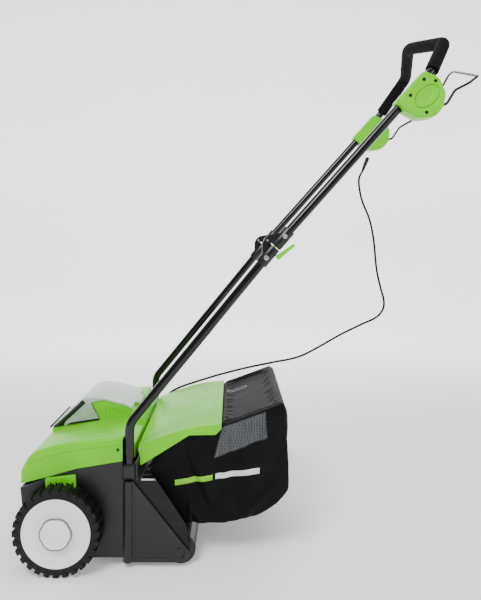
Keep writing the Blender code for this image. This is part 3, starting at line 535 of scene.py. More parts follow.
ZINC = zinc_steel()
CLEAR = clear_lid()
CLOTH = bag_cloth()
NET = window_net()
THREAD = print_ink("white_thread", "#E2E3E1", "#A9ABAA")
GREEN_INK = print_ink("green_ink", "#7FCB12", "#4E7D12")


# CAD nodes whose shape is kept: only their material changes


def paint():
    finishes = {
        LIME: "cam_lever_left cam_lever_right battery_latch",
        BLACK_ABS: "deck_housing battery_bay battery_pack handle_socket_left handle_socket_right",
        SMOOTH_BLACK: "motor_controller motor_pulley rotor_pulley rear_roller",
        SOFT_RUBBER: "drive_belt cable_gland",
        ZINC: "motor tine_rotor rotor_bearing_left rotor_bearing_right crank_axle roller_axle flap_hinge_rod"
              " lid_hinge_pin fold_pin_left fold_pin_right bag_frame",
    }
    for material, names in finishes.items():
        for name in names.split():
            for holder in NODES[name].material_slots:
                holder.material = material


# The route, from the strain relief down to the gland: X from the axle, Y and Z
CABLE_CORNERS = (
    (0.7345, 0.205, 0.89), (0.7235, 0.2052, 0.862), (0.7315, 0.2056, 0.808), (0.754, 0.206, 0.75),
    (0.766, 0.2062, 0.692), (0.7745, 0.2064, 0.608), (0.7865, 0.2064, 0.552), (0.795, 0.206, 0.52),
    (0.7925, 0.2056, 0.493), (0.772, 0.2054, 0.469), (0.727, 0.2052, 0.448), (0.67, 0.205, 0.42),
    (0.612, 0.205, 0.387), (0.564, 0.2052, 0.362), (0.526, 0.2054, 0.35), (0.483, 0.2056, 0.342),
    (0.412, 0.206, 0.3275), (0.34, 0.206, 0.31), (0.269, 0.2058, 0.289), (0.21, 0.2054, 0.269),
    (0.1795, 0.205, 0.25), (0.1738, 0.2046, 0.229),
)
CABLE_R = 0.0031


def control_cable():
    """The switch's cable: it hangs from the right housing, behind the tubes, and runs in to its gland."""
    route = flowing_route([at(*p) for p in CABLE_CORNERS], 220)
    cable = wire("control_cable_jacket", [route], CABLE_R, 7)
    dress(cable, CABLE_JACKET, None, "rubber", "control_cable", smooth=50)
    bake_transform(cable)


def camera_and_cord():
    camera_and_light()
    control_cable()


# Wheels: turned tyre and disc, with lugs, notches and ribs placed round them by node trees

WHEEL_R = 0.09
DISC_R = 0.0715
LUGS = 28


def ring_tree(name):
    """A tree that puts copies of a given piece round the Y axis through a given point."""
    tree = bpy.data.node_groups.new(name, "GeometryNodeTree")
    face = tree.interface
    for label, kind in (("Piece", "NodeSocketObject"), ("Material", "NodeSocketMaterial"),
                        ("Count", "NodeSocketInt"), ("First Angle", "NodeSocketFloat"),
                        ("Centre", "NodeSocketVector")):
        face.new_socket(label, in_out="INPUT", socket_type=kind)
    face.new_socket("Geometry", in_out="OUTPUT", socket_type="NodeSocketGeometry")
    inputs = add(tree, "NodeGroupInput").outputs
    line = add(tree, "GeometryNodePoints", {"Count": inputs["Count"]})
    piece = add(tree, "GeometryNodeObjectInfo", {"Object": inputs["Piece"]})
    index = add(tree, "GeometryNodeInputIndex").outputs[0]
    share = add(tree, "ShaderNodeMath", {0: index, 1: inputs["Count"]}, operation="DIVIDE").outputs[0]
    turn = add(tree, "ShaderNodeMath", {0: share, 2: inputs["First Angle"]}, {1: -2 * pi},
               operation="MULTIPLY_ADD").outputs[0]
    spin = add(tree, "ShaderNodeCombineXYZ", {"Y": turn}).outputs[0]
    copies = add(tree, "GeometryNodeInstanceOnPoints", {
        "Points": line.outputs[0], "Instance": piece.outputs["Geometry"], "Rotation": spin})
    placed = add(tree, "GeometryNodeTransform",
                 {"Geometry": copies.outputs[0], "Translation": inputs["Centre"]})
    real = add(tree, "GeometryNodeRealizeInstances", {"Geometry": placed.outputs[0]})
    painted = add(tree, "GeometryNodeSetMaterial",
                  {"Geometry": real.outputs[0], "Material": inputs["Material"]})
    add(tree, "NodeGroupOutput", {"Geometry": painted.outputs[0]})
    return tree


RING = ring_tree("pieces_round_an_axle")


def run_tree(name, tree, inputs):
    """The mesh that a node tree makes with these named inputs."""
    holder = shape(name, lambda bm: bm.verts.new((0, 0, 0)))
    modifier = holder.modifiers.new("nodes", "NODES")
    modifier.node_group = tree
    for item in tree.interface.items_tree:
        if item.in_out == "INPUT" and item.name in inputs:
            modifier[item.identifier] = inputs[item.name]
    return settle(holder)


def round_axle(name, piece, count, first_angle, centre, material):
    """Copies of a piece, made about the origin and pointing along X, round an axle through centre."""
    result = run_tree(name, RING, {"Piece": piece, "Count": count, "First Angle": first_angle,
                                   "Centre": tuple(centre), "Material": material})
    bpy.data.objects.remove(piece, do_unlink=True)
    return result


def merge(name, *objects):
    """Several meshes as one, each body kept whole."""
    base = objects[0]
    for other in objects[1:]:
        bm = bmesh.new()
        bm.from_mesh(base.data)
        bm.from_mesh(other.data)
        bm.to_mesh(base.data)
        bm.free()
        bpy.data.objects.remove(other, do_unlink=True)
    base.name = name
    return base


def tapered_block(name, x, y, z_half, top=0.8):
    """A block along X whose outer end is narrower; x and y are (low, high)."""

    def build(bm):
        bmesh.ops.create_cube(bm, size=1.0)
        for v in bm.verts:
            far = v.co.x > 0
            v.co.z *= 2 * z_half * (top if far else 1.0)
            v.co.x = x[1] if far else x[0]
            v.co.y = y[1] if v.co.y > 0 else y[0]
        bmesh.ops.bevel(bm, geom=bm.edges[:], offset=0.0005, segments=2, affect="EDGES")

    return shape(name, build)


def wheel(side_name, side):
    """Profiles give radius and distance from the machine's middle plane."""
    axle = (0.0, WHEEL_R)
    centre = at(0.0, 0.0, WHEEL_R)
    body = f"wheel_{side_name}"
    carcass = [(DISC_R + 0.0004, 0.2215), (0.075, 0.2215), (0.08, 0.2218), (0.085, 0.2232), (0.0868, 0.2262),
               (0.0872, 0.232), (0.0872, 0.247), (0.0868, 0.252), (0.085, 0.2552), (0.08, 0.2566),
               (0.0762, 0.2572), (0.0735, 0.2578), (DISC_R + 0.0004, 0.2576)]
    tyre = turned("carcass", carcass, axle, side, 168)
    half = WHEEL_R * 2 * pi / LUGS * 0.31
    rings = []
    for name, reach, span, share, top in (
        ("tread", (0.085, WHEEL_R - 0.0001), (0.2216, 0.2574), 1.0, 0.92),
        ("sidewall_bars", (0.0782, 0.0893), (0.254, 0.2577), 0.8, 1.15),
        ("shoulder_bars", (0.0782, 0.0893), (0.2213, 0.226), 0.7, 1.1),
    ):
        lug = tapered_block("lug", reach, spread(side, *span), half * share, top)
        rings.append(round_axle(name, lug, LUGS, pi / 2, centre, TYRE_RUBBER))
    tyre = merge("tyre_detail_" + side_name, tyre, *rings)
    dress(tyre, TYRE_RUBBER, body, "rubber", f"tyre_{side_name}", smooth=30)

    face = [(0.0066, 0.2535), (0.03, 0.2535), (0.033, 0.2528), (0.0365, 0.2506), (0.04, 0.25),
            (0.044, 0.2504), (0.062, 0.2546), (0.0655, 0.2556), (0.0672, 0.2574), (0.069, 0.2578),
            (0.071, 0.2574), (DISC_R, 0.256), (DISC_R, 0.222), (0.07, 0.2215), (0.067, 0.2215),
            (0.066, 0.248), (0.016, 0.2465), (0.013, 0.223), (0.0066, 0.223)]
    disc = turned("disc_face", face, axle, side, 168)
    rib = tapered_block("back_rib", (0.012, 0.0668), spread(side, 0.226, 0.2486), 0.0011, 1.0)
    ribs = round_axle("back_ribs", rib, 12, 0.0, centre, WHITE_ABS)
    disc = merge("wheel_disc_detail_" + side_name, disc, ribs)
    dress(disc, WHITE_ABS, body, "white_plastic", f"wheel_disc_{side_name}", smooth=30)

    cap = lobed_cap("cap_rim", axle, side, (0.2564, 0.2596), 0.0334, 0.0018, 0.0007)
    dress(cap, GREY_ABS, body, "white_plastic", f"hub_cap_{side_name}")
    dish = lobed_cap("cap_face", axle, side, (0.2588, 0.2605), 0.03, 0.0018, 0.0005)
    centre_cap = [(0.0, 0.26), (0.0145, 0.26), (0.0145, 0.2607), (0.0138, 0.261), (0.0, 0.261)]
    button = settle(turned("cap_button", centre_cap, axle, side, 64))
    dress(merge("hub_cap_face_" + side_name, dish, button), WHITE_ABS, body, "white_plastic")


def lobed_cap(name, axle, side, span, radius, lobe, edge):
    """A cap whose rim bulges in six places."""
    points = []
    for i in range(144):
        a = 2 * pi * i / 144
        r = radius + lobe * (abs(cos(3 * a)) ** 0.6 - 0.5)
        points.append((axle[0] + r * cos(a), axle[1] + r * sin(a)))
    return soften(prism(name, points, *spread(side, *span)), edge, 3, 50)


# Handle: tubes, grip, switch housings, bail and fold

TUBE_R = 0.0098
TUBE_Y = 0.205
LOWER_SLOPE = radians(50.7)
UPPER_SLOPE = radians(48.3)
FOLD = (0.452, 0.6765)
FOLD_OFFSET = 0.0215
BAIL_PIVOT = (0.789, 0.982)
RING_SPOT = (0.04, 0.026)
RING_TILT = 0.1
HOUSING_FACE = 0.2308
HOUSING_SCREWS = [(0.062, -0.002), (0.076, 0.018), (0.018, -0.001), (0.014, 0.048)]
SLEEVE_R = 0.0132


def along(slope, distance, off=0.0):
    """A point in X and Z from where the tubes meet, off being towards the front."""
    return (FOLD[0] + distance * cos(slope) - off * sin(slope),
            FOLD[1] + distance * sin(slope) + off * cos(slope))


def on_tube(side, place):
    return at(place[0], side * TUBE_Y, place[1])


def housing_point(s, n):
    """A point on a switch housing's side: s up the tube, n behind it."""
    return (0.722 + s * cos(UPPER_SLOPE) + n * sin(UPPER_SLOPE),
            0.979 + s * sin(UPPER_SLOPE) - n * cos(UPPER_SLOPE))


def pin(name, place, low, high, radius, sides=32):
    """A rod along Y at a point given in X and Z."""
    return rod(name, at(place[0], low, place[1]), at(place[0], high, place[1]), radius, sides)


def tube(name, route, radius, wall):
    """A bent tube with open ends, its wall inwards of its radius."""
    pipe = wire(name, [route], radius, 9, capped=False)
    thick = pipe.modifiers.new("wall", "SOLIDIFY")
    thick.thickness = wall
    thick.offset = -1.0
    return settle(pipe)


def upper_route():
    foot, knee = along(UPPER_SLOPE, 0.004), along(UPPER_SLOPE, 0.503)
    left = [at(foot[0], -TUBE_Y, foot[1]), at(knee[0], -TUBE_Y, knee[1]), at(0.837, -0.14, 1.1335)]
    right = [Vector((p.x, -p.y, p.z)) for p in reversed(left)]
    return smooth_route([*left, at(0.8, 0.0, 1.168), *right], [0.035, 0.028, 0.06, 0.028, 0.035], 0.003)


def handle_tubes():
    for side_name, side in SIDES:
        top = along(LOWER_SLOPE, -0.004)
        corners = [at(0.142, side * TUBE_Y, 0.19), at(0.142, side * TUBE_Y, 0.299), on_tube(side, top)]
        lower = tube("lower_tube_" + side_name, smooth_route(corners, [0.045], 0.002), TUBE_R, 0.0013)
        dress(lower, COAT, "chassis", "powder_coat", f"lower_handle_{side_name}", smooth=50)
    route = upper_route()
    upper = tube("upper_tube", route, TUBE_R, 0.0013)
    dress(upper, COAT, "upper_handle", "powder_coat", "upper_handle", smooth=50)
    foam_grip([p for p in route if p.z > 1.052])


def foam_grip(route):
    """The foam sleeve, its ends rounded over."""
    grip = tube("foam_sleeve", route, 0.0146, 0.0144 - TUBE_R - 0.0002)
    grip = dress(soften(grip, 0.0014, 3, 50), FOAM, "upper_handle", "foam", "foam_grip", smooth=40)


def housing_body(name, inset, low, high, edge, segments=6):
    """The housing's outline, moved in by inset, between two Y."""
    corners = [(-0.008, -0.0155), (0.078, -0.0145), (0.088, 0.02), (0.074, 0.05), (0.05, 0.067),
               (0.022, 0.068), (-0.004, 0.045), (-0.012, 0.012)]
    centre = Vector((0.038, 0.024))
    arms = [Vector(c) - centre for c in corners]
    outline = rounded([housing_point(*(centre + arm * (1 - inset / arm.length))) for arm in arms],
                      [0.006, 0.01, 0.025, 0.025, 0.025, 0.02, 0.03, 0.01], 6)
    return soften(prism(name, outline, low, high), edge, segments, 50)


def oval(name, centre, radii, tilt, low, high, sides=96):
    """An oval plate lying against the housing's side, its long way turned by tilt."""
    points = []
    for i in range(sides):
        a = 2 * pi * i / sides
        s, n = radii[0] * cos(a), radii[1] * sin(a)
        points.append(housing_point(centre[0] + s * cos(tilt) - n * sin(tilt),
                                    centre[1] + s * sin(tilt) + n * cos(tilt)))
    return prism(name, points, low, high)


def scoop(name, centre, radii, tilt, side):
    """A flattened ball that hollows a shallow dish in the housing's side."""
    ball = shape(name, lambda bm: bmesh.ops.create_uvsphere(bm, u_segments=64, v_segments=32, radius=1.0))
    spot = housing_point(*centre)
    turn = Matrix.Rotation(-(UPPER_SLOPE + tilt), 4, "Y")
    size = Matrix.Diagonal((radii[0], 0.0042, radii[1], 1.0))
    ball.data.transform(Matrix.Translation(at(spot[0], side * 0.2325, spot[1])) @ turn @ size)
    return ball


def screw_head(name, place, side, outer, radius=0.0031):
    """A pan head with a cross slot, its face at the distance outer from the middle plane."""
    head = soften(pin(name, place, *spread(side, outer - 0.002, outer), radius, 32), 0.0004, 2, 50)
    for slot_angle in (0.5, 0.5 + pi / 2):
        cross = block(f"{name}_slot", (-radius * 0.62, side * outer - 0.0008, -radius * 0.14),
                      (radius * 0.62, side * outer + 0.0008, radius * 0.14))
        turn = Matrix.Rotation(slot_angle, 4, "Y")
        cross.data.transform(Matrix.Translation(at(place[0], 0, place[1])) @ turn)
        head = cut(head, cross)
    return head


def switch_housing(side_name, side):
    """A green shell: joint line, sunk ring and dish, four screws and, on the left, the safety button."""
    low, high = spread(side, 0.1862, HOUSING_FACE)
    box = housing_body("switch_shell_" + side_name, 0.0, low, high, 0.01)
    seam_y = side * 0.2085
    seam = cut(housing_body("seam_tool", -0.004, seam_y - 0.0005, seam_y + 0.0005, 0.0),
               housing_body("seam_core", 0.0011, seam_y - 0.002, seam_y + 0.002, 0.0))
    rim = cut(oval("rim_tool", RING_SPOT, (0.031, 0.02), RING_TILT, *spread(side, 0.229, 0.236)),
              oval("rim_core", RING_SPOT, (0.0288, 0.0178), RING_TILT, *spread(side, 0.22, 0.24)))
    dish = scoop("dish_tool", RING_SPOT, (0.0215, 0.011), RING_TILT, side)
    start, end = along(UPPER_SLOPE, 0.3), along(UPPER_SLOPE, 0.56)
    tube_room = rod("tube_room", on_tube(side, start), on_tube(side, end), TUBE_R + 0.0007, 40)
    slot = prism("bail_slot", [(0.781, 0.975), (0.85, 0.955), (0.86, 1.1), (0.8, 1.06), (0.781, 0.989)],
                 *spread(side, 0.2008, 0.2092))
    bail_bore = pin("bail_bore", BAIL_PIVOT, *spread(side, 0.194, 0.2092), 0.0036)
    box = cut(box, seam, rim, dish, tube_room, slot, bail_bore)
    heads = []
    for i, place in enumerate(HOUSING_SCREWS):
        spot = housing_point(*place)
        box = cut(box, pin("screw_well", spot, *spread(side, 0.227, 0.24), 0.004))
        heads.append(screw_head(f"housing_screw_{side_name}_{i}", spot, side, 0.2292))
    if side < 0:
        spot = housing_point(0.038, 0.03)
        box = cut(box, pin("button_room", spot, -0.1958, -0.17, 0.008))
        button = soften(pin("button_cap", spot, -0.1908, -0.1801, 0.0074, 64), 0.0014, 4, 50)
        for i in range(3):
            ridge = pin("button_ridge", (spot[0] + (i - 1) * 0.0032, spot[1]), -0.1806, -0.1796, 0.0009, 24)
            button = cut(button, ridge)
        dress(button, SMOOTH_BLACK, "button", "black_abs", "safety_button")
    dress(box, LIME, "upper_handle", "lime_abs", f"switch_housing_{side_name}", smooth=32)
    dress(merge("housing_screws_" + side_name, *heads), SMOOTH_BLACK, "upper_handle", "steel")


def bail_bar():
    half = [(0.789, -0.195, 0.982), (0.789, -0.205, 0.982), (0.817, -0.205, 0.979), (0.838, -0.201, 1.012),
            (0.878, -0.176, 1.034), (0.9105, -0.147, 1.058)]
    other = [(x, -y, z) for x, y, z in reversed(half)]
    radii = [0.006, 0.012, 0.016, 0.03, 0.012, 0.08, 0.012, 0.03, 0.016, 0.012, 0.006]
    route = smooth_route([at(*p) for p in (*half, (0.907, 0.0, 1.113), *other)], radii, 0.002)
    dress(wire("bail_wire", [route], 0.00296, 7), COAT, "bail", "powder_coat", "bail_bar", smooth=50)


def strain_relief():
    """The ribbed sleeve where the cable leaves the right switch housing."""
    top, below = at(*CABLE_CORNERS[0]), at(*CABLE_CORNERS[1])
    up = (top - below).normalized()
    pieces = [rod("relief_core", top + up * 0.0005, top + up * 0.0395, 0.0037, 40, 0.0052)]
    for i in range(9):
        place = top + up * (0.003 + i * 0.004)
        pieces.append(rod("relief_ring", place, place + up * 0.0024, 0.0041 + i * 0.00024, 40,
                          0.0042 + i * 0.00024))
    sleeve = merge("ribbed_strain_relief", *pieces)
    dress(sleeve, SOFT_RUBBER, "upper_handle", "rubber", "cable_strain_relief", smooth=50)


def fold_joint(side_name, side):
    """The fold's two sleeves: one eye on the lower tube between two on the upper, each with a rivet."""
    pivot = along(LOWER_SLOPE, 0.0, FOLD_OFFSET)
    for name, slope, sign, body in (("fold_bracket", LOWER_SLOPE, -1, "chassis"),
                                    ("fold_knuckle", UPPER_SLOPE, 1, "upper_handle")):
        near, far = along(slope, sign * 0.0012), along(slope, sign * 0.0475)
        sleeve = soften(rod(f"{name}_sleeve_{side_name}", on_tube(side, near), on_tube(side, far),
                            SLEEVE_R - 0.0001, 48), 0.0012, 3, 50)
        lobes = ((TUBE_Y - 0.0045, TUBE_Y + 0.0045),) if sign < 0 else ((TUBE_Y - 0.0105, TUBE_Y - 0.0052),
                                                                        (TUBE_Y + 0.0052, TUBE_Y + 0.0105))
        for low, high in lobes:
            y_low, y_high = spread(side, low, high)
            web = [along(slope, sign * 0.0012, 0.006), along(slope, sign * 0.034, 0.008),
                   along(slope, sign * 0.0105, FOLD_OFFSET + 0.005),
                   along(slope, sign * 0.001, FOLD_OFFSET + 0.0065)]
            sleeve = join(sleeve, pin("eye", pivot, y_low, y_high, 0.007, 48),
                          prism("web", web, y_low, y_high))
        back, ahead = along(slope, -sign * 0.01), along(slope, sign * 0.08)
        bore = rod("sleeve_bore", on_tube(side, back), on_tube(side, ahead), TUBE_R + 0.0005, 48)
        sleeve = cut(sleeve, bore, pin("pin_hole", pivot, *spread(side, 0.18, 0.23), 0.003))
        dress(sleeve, SMOOTH_BLACK, body, "black_abs", f"{name}_{side_name}")
        dome = [(0.0, 0.013), (0.0048, 0.013), (0.0052, 0.0136), (0.005, 0.0143), (0.0034, 0.0149),
                (0.0, 0.0151)]
        rivet = turned("rivet", dome, along(slope, sign * 0.03), 1, 40)
        rivet.data.transform(Matrix.Diagonal((1, side, 1, 1)))
        rivet.data.transform(Matrix.Translation((0, side * (TUBE_Y - 0.0006), 0)))
        rivet = settle(rivet)
        rivet.name = f"{name}_rivet_{side_name}"
        dress(rivet, ZINC, body, "steel")


def handle():
    handle_tubes()
    bail_bar()
    strain_relief()
    for side_name, side in SIDES:
        switch_housing(side_name, side)
        fold_joint(side_name, side)


# Deck, hood and lid

DECK_Y = 0.2125
PANEL_Y = 0.2129
ROLLER_AXLE = (0.2505, 0.032)
FLAP_Y = 0.191
WALL = 0.003
LID_HINGE = (0.1315, 0.2915)
HUMP_Y = 0.078
HUMP_IN = 0.0748
SEAM = [(-0.0885, 0.166), (-0.03, 0.1885), (0.03, 0.2055), (0.134, 0.2225)]


def hood():
    """The hood: a rounded crown over the deck, and a hump for the battery with vents in its sides."""
    crown = rounded(
        [(-0.0895, 0.15), (-0.0885, 0.2), (-0.07, 0.236), (-0.03, 0.251), (0.03, 0.2625), (0.1265, 0.272),
         (0.151, 0.251), (0.151, 0.15)],
        [0.0, 0.025, 0.04, 0.05, 0.05, 0.02, 0.006, 0.0], steps=8,
    )
    inner_crown = [(-0.0865, 0.14), (-0.0855, 0.199), (-0.067, 0.232), (-0.03, 0.247), (0.03, 0.259),
                   (0.125, 0.268), (0.148, 0.2485), (0.148, 0.14)]
    hump = rounded([(-0.064, 0.2), (-0.064, 0.247), (0.0492, 0.2652), (0.0275, 0.3065), (0.06, 0.312),
                    (0.105, 0.3005), (0.128, 0.2895), (0.146, 0.268), (0.152, 0.245), (0.152, 0.2)],
                   [0.0, 0.001, 0.001, 0.002, 0.03, 0.02, 0.012, 0.012, 0.006, 0.0], 6)
    inner_hump = [(-0.059, 0.15), (-0.059, 0.2445), (0.053, 0.262), (0.032, 0.304), (0.06, 0.3085),
                  (0.104, 0.2975), (0.126, 0.287), (0.143, 0.267), (0.149, 0.244), (0.149, 0.15)]
    seam = [(-0.12, SEAM[0][1] + 0.0004), *[(x, z + 0.0006) for x, z in SEAM[1:]],
            (0.2, SEAM[-1][1] + 0.0004), (0.2, 0.1), (-0.12, 0.1)]
    shell = soften(prism("hood_crown", crown, -DECK_Y, DECK_Y), 0.0135, 6, 40)
    shell = join(shell, soften(prism("hump", hump, -HUMP_IN, HUMP_IN), 0.0045, 4, 40))
    shell = cut(
        shell,
        prism("hood_room", inner_crown, -DECK_Y + WALL, DECK_Y - WALL),
        prism("hump_room", inner_hump, -HUMP_IN + WALL, HUMP_IN - WALL),
        prism("under_seam", seam, -0.3, 0.3),
        block("battery_hole", at(-0.034, -0.0685, 0.15), at(0.1175, 0.0685, 0.4)),
        block("hinge_room", at(0.116, -0.031, 0.285), at(0.138, 0.031, 0.4)),
    )
    for y in (-0.0345, 0.0345):
        ear = prism("hinge_ear", [(0.1262, 0.28), (0.1275, 0.296), (0.1365, 0.296), (0.143, 0.27)],
                    y - 0.003, y + 0.003)
        shell = cut(join(shell, ear), pin("ear_hole", LID_HINGE, y - 0.01, y + 0.01, 0.0023))
    for _, side in SIDES:
        low, high = spread(side, TUBE_Y - 0.0139, 0.3)
        shell = cut(shell, block("socket_room", at(0.1281, low, 0.1), at(0.3, high, 0.4)))
        for i in range(6):
            x = 0.062 + i * 0.0095
            slit = [(x, 0.281), (x + 0.0042, 0.2806), (x + 0.0026, 0.295 - i * 0.0012),
                    (x - 0.0016, 0.2954 - i * 0.0012)]
            shell = cut(shell, prism("vent", slit, *spread(side, 0.0735, 0.08)))
        groove = [(-0.085, 0.214), (-0.03, 0.233), (0.03, 0.246), (0.1281, 0.257), (0.1281, 0.2562),
                  (0.03, 0.2452), (-0.03, 0.2322), (-0.085, 0.2132)]
        shell = cut(shell, prism("styling_line", groove, *spread(side, DECK_Y - 0.0008, DECK_Y + 0.002)))
    dress(shell, LIME, "chassis", "lime_abs", "hood", smooth=28)
    for side_name, side in SIDES:
        screw = screw_head(f"hood_screw_head_{side_name}", (0.1185, 0.2465), side, 0.21485, 0.0032)
        dress(screw, SMOOTH_BLACK, "chassis", "steel", f"hood_screw_{side_name}")


def battery_lid():
    """The lid: a cap with a dark bead at its front, and dark bands and dots along its sides."""
    edge = rounded([(-0.0645, 0.2483), (0.008, 0.315), (0.03, 0.3205), (0.06, 0.317), (0.105, 0.3055),
                    (0.125, 0.2975), (0.1243, 0.2922), (0.105, 0.3013), (0.06, 0.313), (0.027, 0.3075),
                    (0.0488, 0.2664)],
                   [0.001, 0.012, 0.02, 0.04, 0.04, 0.001, 0, 0, 0, 0, 0.002], 8)
    room = [(-0.059, 0.2), (-0.059, 0.2495), (0.0095, 0.3125), (0.03, 0.3178), (0.06, 0.3148), (0.06, 0.2)]
    lid = soften(prism("lid_shell", edge, -HUMP_Y + 0.0006, HUMP_Y - 0.0006), 0.0008, 3, 50)
    lid = cut(lid, prism("lid_room", room, -HUMP_Y + 0.0025, HUMP_Y - 0.0025))
    strap = prism("lid_strap", [(0.118, 0.3), (0.1245, 0.2972), (0.1325, 0.2965), (0.1305, 0.2925),
                                (0.118, 0.2965)], -0.03, 0.03)
    knuckle = pin("lid_knuckle", LID_HINGE, -0.03, 0.03, 0.0052, 48)
    lid = cut(join(lid, strap, knuckle), pin("lid_bore", LID_HINGE, -0.05, 0.05, 0.0023, 32))
    dress(lid, CLEAR, "battery_lid", "clear_plastic", "battery_lid", smooth=30)
    seal = pin("lid_bead", (-0.0672, 0.2505), -HUMP_Y + 0.0002, HUMP_Y - 0.0002, 0.00255, 32)
    dress(soften(seal, 0.0009, 3, 50), SOFT_RUBBER, "battery_lid", "rubber", "lid_front_seal", smooth=50)
    front = [(-0.064, 0.2489), (0.007, 0.3138), (0.015, 0.306), (-0.033, 0.262), (-0.037, 0.253)]
    lower = [(-0.033, 0.2536), (0.0478, 0.2664), (0.0466, 0.2702), (-0.02, 0.2604)]
    for side_name, side in SIDES:
        span = spread(side, 0.0768, 0.078)
        for label, outline, soft in (("front", front, 0.0015), ("lower", lower, 0.0008)):
            band = prism(f"lid_{label}_band_{side_name}", rounded(outline, soft, 4), *span)
            dress(soften(band, 0.00025, 2, 50), SMOOTH_BLACK, "battery_lid", "black_abs")
        glint = prism(f"lid_front_glint_{side_name}", [(-0.0545, 0.2555), (0.0035, 0.308), (0.0042, 0.3074),
                                                       (-0.0538, 0.2549)], *spread(side, 0.0775, 0.07805))
        dress(glint, GREY_ABS, "battery_lid", "black_abs")
        dots = []
        for i in range(15):
            place = (0.0455 - 0.465 * i * 0.0026, 0.2722 + 0.885 * i * 0.0026)
            dots.append(soften(pin("dot", place, *spread(side, 0.0771, 0.078), 0.00085, 16), 0.00015, 1, 50))
        dress(merge(f"lid_side_dots_{side_name}", *dots), SMOOTH_BLACK, "battery_lid", "black_abs")


def deck():
    """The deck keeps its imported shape; a raised bead is added along each side."""
    line = [(-0.0835, 0.129), (0.046, 0.129), (0.046, 0.1275), (-0.0835, 0.1275)]
    for side_name, side in SIDES:
        bead = prism(f"deck_bead_{side_name}", line, *spread(side, DECK_Y - 0.0005, DECK_Y + 0.0004))
        dress(bead, BLACK_ABS, "chassis", "black_abs")


def side_panel(side_name, side):
    """A side panel: upright boss, raised border, roller boss, two screws and the skirt behind it."""
    outline = rounded([(0.13, 0.01), (0.13, 0.1815), (0.151, 0.1815), (0.272, 0.03), (0.262, 0.01)],
                      [0.002, 0.002, 0.004, 0.014, 0.01], 8)
    panel = soften(prism(f"panel_plate_{side_name}", outline, *spread(side, PANEL_Y, 0.2184)), 0.0016, 4, 50)
    sunk = rounded([(0.1545, 0.016), (0.1545, 0.164), (0.262, 0.031), (0.256, 0.016)],
                   [0.004, 0.003, 0.01, 0.006], 8)
    panel = cut(panel, soften(prism("panel_sink", sunk, *spread(side, 0.2169, 0.23)), 0.0009, 3, 50))
    boss = rod("panel_boss", at(0.1405, side * 0.2139, 0.0103), at(0.1405, side * 0.2139, 0.1812), 0.0105,
               56)
    panel = join(panel, soften(boss, 0.0022, 4, 50))
    low, high = spread(side, 0.15, PANEL_Y)
    panel = cut(panel, block("boss_trim", at(0.1, low, -0.01), at(0.2, high, 0.25)))
    hub = soften(pin("roller_hub", ROLLER_AXLE, *spread(side, 0.2165, 0.2183), 0.0085, 56), 0.0006, 3, 50)
    panel = join(panel, hub)
    panel = cut(panel, pin("roller_pocket", ROLLER_AXLE, *spread(side, 0.2029, 0.2141), 0.01, 48))
    guard = rounded([(0.1495, 0.17), (0.1495, 0.1808), (0.201, 0.1808), (0.263, 0.088), (0.2705, 0.04),
                     (0.26, 0.034)], [0.001, 0.001, 0.004, 0.006, 0.003, 0.002], 5)
    skirt = prism(f"clippings_guard_{side_name}", guard, *spread(side, 0.2116, 0.2128))
    dress(skirt, SOFT_RUBBER, "chassis", "black_abs")
    dress(panel, BLACK_ABS, "chassis", "black_abs", f"side_panel_{side_name}", smooth=32)
    heads = [screw_head("panel_screw", spot, side, 0.21845, 0.0028) for spot in ((0.162, 0.163),
                                                                                 (0.2555, 0.02))]
    dress(merge(f"panel_screws_{side_name}", *heads), SMOOTH_BLACK, "chassis", "steel")


def depth_lever():
    """The green lever that turns the cranked axle, with slots cut in from its grip's lower edge."""
    arm = rounded([(-0.011, 0.078), (-0.012, 0.15), (-0.033, 0.17), (-0.034, 0.188), (0.03, 0.1955),
                   (0.031, 0.17), (0.012, 0.15), (0.012, 0.078)],
                  [0.008, 0.01, 0.002, 0.003, 0.003, 0.002, 0.01, 0.008], 8)
    lever = prism("depth_lever_plate", arm, -0.219, -0.214)
    for i in range(5):
        x = -0.024 + i * 0.0115
        tooth = rounded([(x, 0.158), (x, 0.1795), (x + 0.004, 0.1795), (x + 0.004, 0.158)],
                        [0, 0.0018, 0.0018, 0], 5)
        lever = cut(lever, prism("lever_slot", tooth, -0.23, -0.2))
    lever = cut(lever, pin("lever_bore", (0.0, WHEEL_R), -0.23, -0.2, 0.0065, 48))
    dress(soften(lever, 0.0008, 3, 50), LIME, "depth_axle", "lime_abs", "depth_lever", smooth=32)


